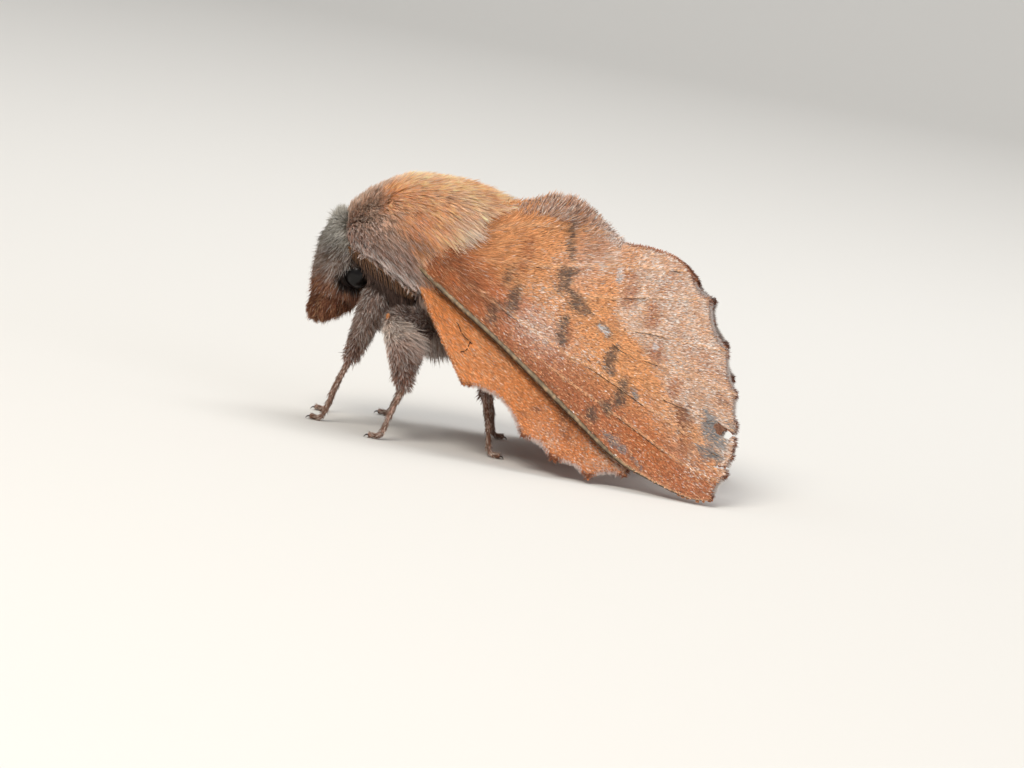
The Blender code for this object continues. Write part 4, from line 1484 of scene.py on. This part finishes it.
def scatter_on(mesh, count, rng):
    """Even random places on a mesh, as points and normals, in millimetres."""
    mesh.calc_loop_triangles()
    corners = read(mesh.loop_triangles, "vertices", 3, np.int32)
    points = read(mesh.vertices, "co", 3).astype(float) / MM
    normals = read(mesh.vertices, "normal", 3).astype(float)
    a, b, c = (points[corners[:, k]] for k in range(3))
    area = np.linalg.norm(np.cross(b - a, c - a), axis=1)
    ends = np.cumsum(area)
    where = (np.arange(count) + rng.random(count)) / count * ends[-1]
    face = np.minimum(np.searchsorted(ends, where), len(area) - 1)
    u, v = rng.random(count), rng.random(count)
    flip = u + v > 1
    u, v = np.where(flip, 1 - u, u), np.where(flip, 1 - v, v)
    weights = np.stack([1 - u - v, u, v], -1)[:, :, None]
    return tuple((values[corners[face]] * weights).sum(1) for values in (points, normals))


def keep_clear_of_wings(forms, roots):
    """Fur rooted under a forewing stays under it, and other fur lies over the wing's base."""

    def flat(points):
        dx, dz = points[..., 0] - ROOT_X, points[..., 2] - ROOT_Z
        along = dx * math.cos(WING_SLOPE) - dz * math.sin(WING_SLOPE)
        return along, dx * math.sin(WING_SLOPE) + dz * math.cos(WING_SLOPE)

    def within(along, up, edge):
        low, high = line_height(COSTA_LINE, along), line_height(RIDGE_LINE, along)
        return (along > edge) & (up > low) & (up < high)

    root_along, root_up = flat(roots)
    skin = forewing_skin_out(root_along, root_up)
    under = within(root_along, root_up, 0.5) & (np.abs(roots[:, 1]) < skin - 0.05)
    along, up = flat(forms)
    over_wing = within(along, up, -0.1)
    out, side = np.abs(forms[..., 1]), np.sign(roots[:, 1])[:, None]
    skin = forewing_skin_out(along.ravel(), up.ravel()).reshape(along.shape)
    pressed = np.where(under[:, None], np.minimum(out, skin - 0.3), np.maximum(out, skin + 0.06))
    forms[..., 1] = np.where(over_wing, side * pressed, forms[..., 1])
    return forms


def clumped(tips, roots, pull, rng):
    """Draws the tips of neighbouring locks together."""
    heads = rng.choice(len(roots), max(len(roots) // LOCKS_PER_CLUMP, 1), replace=False)
    nearest = heads[nearest_of(roots[heads], roots)]
    return tips + (tips[nearest] - tips) * pull


LOCKS_PER_CLUMP = 12
HAIR_HABITS = {
    # kind: (length name, height of middle and tip over the skin, how far clumps draw together)
    "head": ("head_hair", 0.22, 0.34, 0.22),
    "palp": ("palp_hair", 0.17, 0.24, 0.5),
    "thorax": ("thorax_hair", 0.27, 0.45, 0.25),
    "abdomen": ("abdomen_hair", 0.24, 0.4, 0.25),
    "leg": ("leg_hair", 0.17, 0.3, 0.3),
}


def kind_of(label):
    """head, thorax, abdomen, palp or leg."""
    return label.split("_")[0]


def coat_of(label):
    """The coat that covers a form: the palps' hair belongs to the head's."""
    return "head" if kind_of(label) == "palp" else kind_of(label)


def fur_object(name, wanted, count, seed, side=0):
    """Fur over the parts of the skin that belong to the wanted forms, on both sides or one."""
    rng = np.random.default_rng(seed)
    forms = body_forms()
    skin = bpy.data.objects["body_skin"].data
    share_of_skin = skin["fur_shares"][wanted] * (0.5 if side else 1.0)
    points, normals = scatter_on(skin, int(count / share_of_skin), rng)
    kept = (near_eye(points) < 0.99) & (points[:, 1] * side >= 0)
    points, normals = points[kept], unit(normals[kept])
    form, *along = on_body(forms, points)
    parts = []
    for number, (label, _) in enumerate(forms):
        chosen = form == number
        if coat_of(label) == wanted and chosen.any():
            share, turn, run = (column[chosen] for column in along)
            parts.append(fur_part(points[chosen], normals[chosen], share, turn, run, label, rng))
    locks, tone, places, tips = (np.concatenate(column) for column in zip(*parts))
    coat = tufts_object(name, locks, LOCK, tone, places, tips)
    return add_piece(coat, "leg_fur" if wanted == "leg" else "body_fur")


def fur_part(place, out, share, turn, run, label, rng):
    """Locks, their colours, their map places and their tips' colours, for the fur of one form."""
    kind, size = kind_of(label), sizes()
    length_name, middle_rise, tip_rise, pull = HAIR_HABITS[kind]
    count = len(place)
    unruly = 0.26 if kind in ("head", "leg", "palp") else 0.16
    field = unit(lie_field(place, label, share, run)) + rng.normal(0, unruly, (count, 3))
    inwards = np.minimum((field * out).sum(1), 0)[:, None]
    lie = unit(field - out * inwards)
    reach = np.full(count, size[length_name])
    rise = np.ones(count)
    frosted = np.full(count, 0.32)
    x, _, z = place.T
    if kind == "thorax":
        collar = smoothstep((-7.4 - x) / 1.2)
        reach += (size["collar_hair"] - reach) * collar
        tuft = bump(x, -4.2, 1.0) * bump(z, 10.9, 0.8)
        reach *= 1 + 0.8 * tuft
        reach *= 1 + 0.25 * smoothstep((8.4 - z) / 1.0) * ramp(z, 6.6, 0.6)
        reach *= 1 - 0.25 * collar
        pull = 0.25 + 0.3 * tuft[:, None]
        frosted += 0.5 * tuft + 0.25 * smoothstep((9.5 - z) / 1.0) + 0.1 * ramp(z, 11, 1)
        reach *= short_of_antennae(place, lie, out * tip_rise, reach)
    if kind == "head":
        vertex = ramp(z, 9.5, 0.6)
        reach *= 1 - 0.1 * near_eye(place)
        rise += 0.3 * smoothstep((7.0 - z) / 0.6) - 0.35 * vertex
        frosted += 0.3 * vertex + 0.1 * ramp(z, 7.4, 0.8)
    if kind == "palp":
        reach *= 1.1 - 0.45 * share
        frosted -= 0.25
    if kind == "leg":
        reach *= 1.15 - 0.55 * share
        frosted += 0.1
        if "fore" in label:
            reach *= 0.8
        if "mid" in label:
            fan = bump(share, 0.52, 0.13)
            reach *= 0.85 + 1.9 * fan * ramp(x, -6.2, 0.5)
            frosted += 0.55 * fan
    reach *= rng.uniform(0.6, 1.6 if kind == "palp" else 1.15, count)
    rise *= rng.uniform(0.55, 1.3, count)
    middle = place + lie * (reach * 0.45)[:, None] + out * (middle_rise * rise)[:, None]
    tip = place + lie * reach[:, None] + out * (tip_rise * rise)[:, None]
    tip = clumped(tip, place, pull, rng)
    width = size["hair_width"] * rng.uniform(0.75, 1.25, count)
    width = width * (0.8 if kind in ("head", "leg") else 1)
    forms = locks_at(place - out * 0.05, middle, tip, width)
    if kind in ("thorax", "abdomen"):
        forms = keep_clear_of_wings(forms, place)
    forms, shaded, falling = keep_clear_of_antennae(forms, place)
    forms = keep_clear_of_eyes(forms)
    tone = washed(body_pigment(place, label, share), ("walnut", 0.75 * shaded))
    # Locks vary at random; fur falling over an antenna is painted a fifth darker, with more dark
    # locks, as shade between its strands
    uneven_and_drape_shade = rng.uniform(0.6 - 0.2 * falling, 1.4, count) * (0.68 + 0.64 * noise(place, 0.16, 43))
    tone = tone * (uneven_and_drape_shade * (1 - 0.2 * falling))[:, None]
    low = smoothstep((7.8 - z) / 0.9) * (kind in ("head", "palp"))
    frosted = (frosted + 0.2 * falling) * (1 - 0.75 * low)
    pale = (rng.random(count) < frosted * (1 - shaded)) * rng.uniform(0.4, 0.9, count)
    # Tips are painted a tenth lighter as light; their rust, straw and snow are the hair's own
    # colour
    tips = washed(
        tone * 1.1, ("rust", 0.6 * low * rng.random(count)),
        ("straw", 0.6 * low * (rng.random(count) < 0.25)), ("snow", pale),
    )
    return forms, washed(tone, ("snow", 0.3 * pale)), fur_map(label, share, turn), tips


ANTENNA_LINE = smooth_path(ANTENNA, 60)
SHAFT_RISE = 0.72  # how high in its blade an antenna's shaft lies, as a share of the half size
EYE_COVER = EYE_RADIUS + 0.06  # fur stays this far from an eye's centre


def from_antenna(points):
    """How far points are above an antenna's shaft, how far out it is, and which are beside it."""
    x, z = points[..., 0], points[..., 2]
    line_x = ANTENNA_LINE[:, 0]
    height = np.interp(x, line_x, ANTENNA_LINE[:, 2] + SHAFT_RISE * ANTENNA_LINE[:, 3])
    beside = (x > line_x[0] + 0.35) & (x < line_x[-1] + 0.1)
    return z - height, np.interp(x, line_x, ANTENNA_LINE[:, 1]), beside


def short_of_antennae(place, lie, lift, reach):
    """Share of their length that locks keep so that they end about at the antennae's shafts."""
    tip = place + lie * reach[:, None] + lift
    above, _, beside = from_antenna(place)
    over_by = -from_antenna(tip)[0] + 0.06
    drop = np.maximum(-lie[:, 2] * reach, 0.05)
    share = np.clip(1 - over_by / drop, 0.2, 1)
    return np.where((above > 0) & beside & (over_by > 0), share, 1.0)


def keep_clear_of_antennae(forms, roots):
    """Fur rooted above the antennae's shafts falls over them, and other fur lies behind the teeth.

    Gives the locks, how deep in the teeth's shade each lies, and how much each falls over.
    """
    above, out, beside = from_antenna(forms)
    near = beside & (above < 0.8) & (above > -1.35)
    root_above, _, root_beside = from_antenna(roots)
    side = np.where(roots[:, 1] < 0, -1.0, 1.0)[:, None]
    width = np.abs(forms[..., 1])
    falls = (root_above > 0)[:, None]
    near &= falls | (np.abs(roots[:, 1])[:, None] < out - 0.1)
    strand = ramp(noise(roots, 0.06, 44), 0.72, 0.1)
    end = np.minimum(0.08 + 0.3 * noise(roots, 0.3, 45) - 0.6 * strand, root_above)
    below = np.where(falls, np.maximum(above, end[:, None]), above)
    forms[..., 2] = np.where(beside, forms[..., 2] + below - above, forms[..., 2])
    lift = (0.02 + 0.2 * noise(roots, 0.1, 46))[:, None]
    draped = width + np.maximum(out + lift - width, 0) * smoothstep((0.8 - above) / 0.75)
    tucked = np.where(above < 0.1, np.minimum(width, out - 0.32), width)
    forms[..., 1] = np.where(near, side * np.where(falls, draped, tucked), forms[..., 1])
    shaded = smoothstep((0.1 - root_above) / 0.2) * ramp(root_above, -1.3, 0.4)
    falling = smoothstep((1.1 - root_above) / 0.5) * (root_above > 0) * root_beside
    return forms, shaded * root_beside, falling


def from_eye(points):
    """The centre of the eye on each point's side, and the point's distance from it."""
    side = np.where(points[..., 1] < 0, -1.0, 1.0)
    x, out, z = EYE_CENTRE
    centre = np.stack([0 * side + x, side * out, 0 * side + z], -1)
    return centre, np.linalg.norm(points - centre, axis=-1)


def keep_clear_of_eyes(forms):
    """Fur that reaches an eye lies over it."""
    centre, gap = from_eye(forms)
    pushed = centre + (forms - centre) * (EYE_COVER / np.maximum(gap, 0.1))[..., None]
    return np.where((gap < EYE_COVER)[..., None], pushed, forms)


def near_eye(points):
    """1 at an eye, fading to nothing in the fur round it."""
    return 1 - smoothstep((from_eye(points)[1] - EYE_RADIUS) / 0.6)


FUR_STRIPS = ("palp_left", "palp_right") + tuple(
    f"leg_{place}_{label}" for place in LEGS for label in ("left", "right")
)


def fur_map(label, share, turn):
    """A place on the unrolled skin of its form: trunk forms fill the map, limbs are strips."""
    if label in FUR_STRIPS:
        strip = FUR_STRIPS.index(label)
        if label.startswith("palp"):
            return np.stack([(strip + turn) * 0.15, 0.02 + share * 0.2], -1)
        return np.stack([(strip - 2 + turn) / 6, 0.02 + share * 0.95], -1)
    low = 0.25 if label == "head" else 0.02
    return np.stack([turn, low + share * (0.97 - low)], -1)


FLESH = ("head", "thorax", "abdomen", "palp_l", "palp_r") + tuple(
    f"leg_{place}{suffix}" for place in LEGS for _, suffix, _ in SIDES
)


def make_body_skin():
    forms = body_forms()
    mesh = skinned(forms)
    mesh.name = "body_skin"
    mesh.transform(Matrix.Scale(MM, 4))
    mesh.polygons.foreach_set("use_smooth", np.ones(len(mesh.polygons), bool))
    obj = link(bpy.data.objects.new("body_skin", mesh))
    points = read(mesh.vertices, "co", 3).astype(float) / MM
    form, share, *_ = on_body(forms, points)
    tone, shares = np.zeros(points.shape), {}
    for number, (label, _) in enumerate(forms):
        chosen = form == number
        # The skin under the fur is painted a fifth darker, as shade
        tone[chosen] = body_pigment(points[chosen], label, share[chosen]) * 0.8
        shares[coat_of(label)] = shares.get(coat_of(label), 0.0) + chosen.mean()
    paint(mesh, tone)
    mesh["fur_shares"] = shares
    mesh.materials.append(material_of("hair_root_felt"))
    return add_piece(obj, "body_fur", *FLESH)


# --- eyes, antennae and feet ---


def make_eye(label, suffix, side):
    x, out, z = EYE_CENTRE
    bpy.ops.mesh.primitive_uv_sphere_add(
        segments=64, ring_count=32, radius=EYE_RADIUS * MM * 0.985,
        location=((x + 0.08) * MM, side * out * MM, (z + 0.08) * MM),
    )
    ball = bpy.context.object
    ball.name = "eye_" + label
    ball.scale = (1.0, 0.92, 1.06)
    ball.data.shade_smooth()
    ball.data.materials.append(material_of("eye_cornea"))
    return add_piece(ball, "eye", "eye" + suffix)


COMB_TEETH = 34  # to a row; a real comb's are finer, too fine to show
SHAFT_RADIUS, TOOTH_RADIUS = 0.065, 0.02
FOOT_JOINTS, FOOT_SCALES = 5, 500
FOOT_RADIUS, TOE_RADIUS, CLAW_RADIUS = 0.155, 0.115, 0.042
KNEE, KNEE_RADIUS, SPUR_RADIUS = (-6.95, 3.62, 5.95), 0.1, 0.06
# Spurs of the middle and the hind legs: root, heading and length
SPURS = (
    ((-5.75, 4.0, 3.2), (0.75, 0.25, -0.55), 0.75), ((-5.6, 4.05, 2.85), (0.3, -0.4, -0.8), 0.55),
    ((-1.6, 3.0, 3.5), (0.6, 0.3, -0.7), 0.55), ((-1.6, 3.05, 3.1), (0.5, -0.3, -0.8), 0.5),
)


def make_antenna(label, suffix, side):
    """A curved shaft with two rows of teeth that hang below it."""
    size, hue_of = sizes(), hues()
    line = smooth_path(ANTENNA, 90)
    shaft = line[:, :3] * (1, side, 1)
    shaft[:, 2] += line[:, 3] * SHAFT_RISE
    share = np.linspace(0, 1, len(line))
    radii = SHAFT_RADIUS * (1 - 0.5 * share) * (1 + 0.1 * np.sin(share * COMB_TEETH * 2 * math.pi))
    parts = [(*tube(shaft, radii, 8), hue_of["shaft"])]
    run = unit(np.gradient(shaft, axis=0))
    steps = np.linspace(0, 1, 6)[:, None]
    thin = TOOTH_RADIUS * (1 - 0.65 * steps[:, 0])
    for number in range(COMB_TEETH):
        where = (number + 0.6) / (COMB_TEETH + 1)
        index = int(where * (len(line) - 1))
        reach = size["comb_tooth"] * math.sin(math.pi * (0.16 + 0.78 * where)) ** 0.8
        tone = washed(hue_of["comb"][None], ("shaft", np.array([0.75 * ramp(where, 0.55, 0.3)])))
        for lean, shade in ((0.42, 1.0), (-0.3, 0.18)):  # the inner row lies in shade
            down = unit(np.array([0.22, side * lean, -1.0]) + 0.25 * run[index])
            bow = np.array([0.1, side * lean * 0.4, 0.0])
            path = shaft[index] + down * reach * steps + bow * reach * steps * (1 - steps)
            parts.append((*tube(path, thin, 5), tone * shade))
    name = "antenna_" + label
    return horn_piece(name, "antenna", "antenna_chitin", parts, "antenna" + suffix)


def make_foot(place, label, suffix, side):
    """Five short segments, each wider at its end, two claws, and a coat of scales."""
    rng = np.random.default_rng(70 + len(place) + side)
    centre = smooth_path(FEET[place], 60) * (1, side, 1)
    share = np.linspace(0, 1, len(centre))
    radii = FOOT_RADIUS - (FOOT_RADIUS - TOE_RADIUS) * share
    radii = radii * (0.78 + 0.3 * ((share * FOOT_JOINTS) % 1) ** 1.5)
    points, faces = tube(centre, radii, 14)
    points[:, 2] = np.maximum(points[:, 2], 0.0)
    fleck = ramp(noise(points, 0.12, 51), 0.5, 0.2)
    parts = [(points, faces, washed(ground("shell", len(points)), ("dusk", fleck)))]
    toe, heading = centre[-1], unit(centre[-1] - centre[-4])
    steps = np.linspace(0, 1, 7)[:, None]
    for spread in (-1, 1):
        claw = toe + heading * 0.2 * steps + np.array([0.0, spread, 0.0]) * 0.16 * steps
        claw[:, 2:] += 0.05 * np.sin(steps * math.pi) - 0.08 * steps
        parts.append((*tube(claw, CLAW_RADIUS * (1 - 0.8 * steps[:, 0]), 6), hues()["walnut"]))
    name = f"foot_{place}_{label}"
    horn_piece(name, "foot", "limb_chitin", parts, f"foot_{place}{suffix}")
    count = FOOT_SCALES
    rows = rng.random(count) * 0.93
    index = (rows * (len(centre) - 1)).astype(int)
    run = unit(np.gradient(centre, axis=0))[index]
    turn = rng.random(count) * 2 * math.pi
    helper = unit(np.cross(run, np.array([0.0, 1.0, 0.1])))
    out = helper * np.cos(turn)[:, None] + np.cross(run, helper) * np.sin(turn)[:, None]
    root = centre[index] + out * (radii[index] * 0.9)[:, None]
    lie = unit(run + out * 0.28 + rng.normal(0, 0.08, (count, 3)))
    reach, width = rng.uniform(0.14, 0.26, count), rng.uniform(0.035, 0.06, count)
    forms = scales_at(root, lie, out, reach, width, np.full(count, 0.03))
    tone = washed(ground("shell", count), ("frost", rng.random(count) ** 2 * 0.9))
    places = np.stack([turn / (2 * math.pi), rows], -1)
    return add_piece(tufts_object(name + "_scales", forms, SCALE, tone, places), "foot")


def make_shin_trim(label, side):
    """The amber knee and the spurs of the middle leg, and the spurs of the hind leg."""
    turns = np.linspace(0, math.pi, 9)
    knee = np.array(KNEE) * (1, side, 1)
    beads = knee + np.stack([0 * turns, 0 * turns, 0.17 * np.cos(turns)], -1)
    radii = KNEE_RADIUS * np.sin(turns) + 0.004
    parts = [(*tube(beads, radii, 12), np.array(linear("#a8662a")))]
    steps = np.linspace(0, 1, 7)[:, None]
    for start, heading, reach in SPURS:
        root, heading = np.array(start) * (1, side, 1), np.array(heading) * (1, side, 1)
        path = root + unit(heading) * reach * steps
        thin = SPUR_RADIUS * (1 - 0.85 * steps[:, 0])
        parts.append((*tube(path, thin, 8), hues()["shank"]))
    return horn_piece("shin_trim_" + label, "leg_fur", "limb_chitin", parts)


# --- operators ---


class MOTH_OT_body_skin(bpy.types.Operator):
    """Draw one skin over head, thorax, abdomen, palps and legs"""

    bl_idname = "moth.body_skin"
    bl_label = "Body skin"

    def execute(self, context):
        make_body_skin()
        return {"FINISHED"}


class MOTH_OT_body_fur(bpy.types.Operator):
    """Lay the fur over the skin, in locks that follow its lie"""

    bl_idname = "moth.body_fur"
    bl_label = "Body fur"

    def execute(self, context):
        size = sizes()
        for label, _, side in SIDES:
            fur_object("fur_thorax_" + label, "thorax", size["thorax_locks"], 3 + side, side)
        fur_object("fur_head", "head", size["head_locks"], 5)
        fur_object("fur_abdomen", "abdomen", size["abdomen_locks"], 6)
        fur_object("fur_legs", "leg", size["leg_locks"], 7)
        return {"FINISHED"}


class MOTH_OT_eyes(bpy.types.Operator):
    """Set the two compound eyes"""

    bl_idname = "moth.eyes"
    bl_label = "Eyes"

    def execute(self, context):
        for label, suffix, side in SIDES:
            make_eye(label, suffix, side)
        return {"FINISHED"}


class MOTH_OT_antennae(bpy.types.Operator):
    """Tuck the two combed antennae along the thorax"""

    bl_idname = "moth.antennae"
    bl_label = "Antennae"

    def execute(self, context):
        for label, suffix, side in SIDES:
            make_antenna(label, suffix, side)
        return {"FINISHED"}


class MOTH_OT_feet(bpy.types.Operator):
    """Make the six jointed feet, and the knees and spurs above them"""

    bl_idname = "moth.feet"
    bl_label = "Feet"

    def execute(self, context):
        for label, suffix, side in SIDES:
            for place in FEET:
                make_foot(place, label, suffix, side)
            make_shin_trim(label, side)
        return {"FINISHED"}


class MOTH_OT_forewings(bpy.types.Operator):
    """Fold the forewings into a roof, with their skin, veins, scales and fringes"""

    bl_idname = "moth.forewings"
    bl_label = "Forewings"

    def execute(self, context):
        size = sizes()
        for number, wing in enumerate(both_wings("forewing")):
            sheet = wing_sheet(wing, FOREWING_MESH, vein_relief)
            add_piece(sheet, "forewing", "forewing" + SIDES[number][1])
            costal_rod(wing)
            for coat in (
                scale_coat(wing, size["forewing_scales"], 10 + number),
                scale_coat(wing, size["lining_scales"], 12 + number, outer=False),
                forewing_fringe(wing, 14 + number),
                vein_cracks(wing, VEINS, 0.66, 16 + number),
            ):
                add_piece(coat, "forewing")
        return {"FINISHED"}


class MOTH_OT_hindwings(bpy.types.Operator):
    """Fold the hindwings inside the forewings, flaring out below them"""

    bl_idname = "moth.hindwings"
    bl_label = "Hindwings"

    def execute(self, context):
        size = sizes()
        for number, wing in enumerate(both_wings("hindwing")):
            sheet = wing_sheet(wing, HINDWING_MESH, lambda s: 0.02 * noise(s, 0.7, 6))
            add_piece(sheet, "hindwing", "hindwing" + SIDES[number][1])
            coats = [
                scale_coat(wing, size["hindwing_scales"], 20 + number),
                scale_coat(wing, size["lining_scales"], 22 + number, outer=False),
                hindwing_fringe(wing, 24 + number),
            ]
            if wing.side < 0:
                coats.append(vein_cracks(wing, HINDWING_CRACKS, 0.3, 26, 1.7, 0, 0))
            for coat in coats:
                add_piece(coat, "hindwing")
        return {"FINISHED"}


CAMERA_LENS = 150.0
CAMERA_AIM = (-0.36, 0.0, 3.3484)
CAMERA_DISTANCE = 213.33
CAMERA_RISE, CAMERA_ROLL = math.radians(7.0), math.radians(10.5)
# Lights: name, place, what it is aimed at, size, watts, colour
LIGHTS = (
    ("key", (-70.0, -150.0, 170.0), (-1.0, 0.0, 6.0), 100.0, 0.36, "#fffaf2"),
    ("fill", (150.0, -150.0, 70.0), (-1.0, 0.0, 6.0), 160.0, 0.09, "#f3f6ff"),
    ("top", (20.0, 60.0, 200.0), (-1.0, 0.0, 6.0), 140.0, 0.17, "#ffffff"),
    ("backdrop", (100.0, 160.0, 380.0), (150.0, 650.0, 60.0), 300.0, 1.1, "#ffffff"),
)


def add_camera(scene):
    """A camera that looks a little down, turned about its axis as the floor is."""
    rise, roll = CAMERA_RISE, CAMERA_ROLL
    back = Vector((0, -math.cos(rise), math.sin(rise)))
    right, up = Vector((1, 0, 0)), Vector((0, math.sin(rise), math.cos(rise)))
    turned = right * math.cos(roll) + up * math.sin(roll)
    risen = up * math.cos(roll) - right * math.sin(roll)
    camera = bpy.data.cameras.new("camera")
    camera.lens = CAMERA_LENS
    camera.clip_start, camera.clip_end = 0.005, 20.0
    holder = link(bpy.data.objects.new("camera", camera))
    place = Matrix.Translation((Vector(CAMERA_AIM) + back * CAMERA_DISTANCE) * MM)
    holder.matrix_world = place @ Matrix((turned, risen, back)).transposed().to_4x4()
    scene.camera = holder


def add_light(name, place, target, size, watts, tint):
    light = bpy.data.lights.new(name, "AREA")
    light.size = size * MM
    light.energy = watts
    light.color = linear(tint)
    lamp = link(bpy.data.objects.new(name, light))
    lamp.location = Vector(place) * MM
    lamp.rotation_euler = (Vector(place) - Vector(target)).to_track_quat("Z", "Y").to_euler()


class MOTH_OT_stage(bpy.types.Operator):
    """Set the camera, the studio lights and the pale sweep that the moth stands on"""

    bl_idname = "moth.stage"
    bl_label = "Stage"

    def execute(self, context):
        scene = context.scene
        add_camera(scene)
        for light in LIGHTS:
            add_light(*light)
        world = bpy.data.worlds.new("studio")
        world.use_nodes = True
        background = world.node_tree.nodes["Background"]
        background.inputs["Color"].default_value = (*linear("#e8eaee"), 1)
        background.inputs["Strength"].default_value = 0.5
        scene.world = world
        scene.view_settings.view_transform = "Standard"
        make_sweep()
        return {"FINISHED"}


def make_sweep():
    """A floor that curves up into a backdrop."""
    reach, bend = 900.0, 260.0
    turns = np.linspace(0, math.pi / 2, 16)
    profile = [(-reach, 0.0)]
    profile += [(reach * 0.5 + bend * math.sin(t), bend * (1 - math.cos(t))) for t in turns]
    profile.append((reach * 0.5 + bend, reach))
    points = np.array([(x, y, z) for y, z in profile for x in (-reach, reach)])
    first = 2 * np.arange(len(profile) - 1)[:, None]
    faces = (first + (0, 1, 3, 0, 3, 2)).reshape(-1, 3)
    return mesh_object("sweep", points, faces, material_of("seamless_paper"))


PIECE_OPERATORS = (
    MOTH_OT_body_skin, MOTH_OT_body_fur, MOTH_OT_eyes, MOTH_OT_antennae, MOTH_OT_feet,
    MOTH_OT_forewings, MOTH_OT_hindwings, MOTH_OT_stage,
)


class MOTH_PT_panel(bpy.types.Panel):
    """Lists the moth's sizes, colours and pieces"""

    bl_idname = "MOTH_PT_panel"
    bl_label = "Lappet moth"
    bl_space_type = "VIEW_3D"
    bl_region_type = "UI"
    bl_category = "Moth"

    def draw(self, context):
        for group in (context.scene.moth_sizes, context.scene.moth_hues):
            box = self.layout.box()
            for key in group.__annotations__:
                box.prop(group, key)
        for operator in PIECE_OPERATORS:
            self.layout.operator(operator.bl_idname)


CLASSES = (MothSizes, MothHues, *PIECE_OPERATORS, MOTH_PT_panel)


def register():
    for cls in CLASSES:
        bpy.utils.register_class(cls)
    bpy.types.Scene.moth_sizes = PointerProperty(type=MothSizes)
    bpy.types.Scene.moth_hues = PointerProperty(type=MothHues)


def unregister():
    del bpy.types.Scene.moth_sizes
    del bpy.types.Scene.moth_hues
    for cls in reversed(CLASSES):
        bpy.utils.unregister_class(cls)


def main():
    register()
    bpy.ops.moth.stage()
    bpy.ops.moth.body_skin()
    bpy.ops.moth.body_fur()
    bpy.ops.moth.eyes()
    bpy.ops.moth.antennae()
    bpy.ops.moth.feet()
    bpy.ops.moth.forewings()
    bpy.ops.moth.hindwings()


if __name__ == "__main__":
    main()
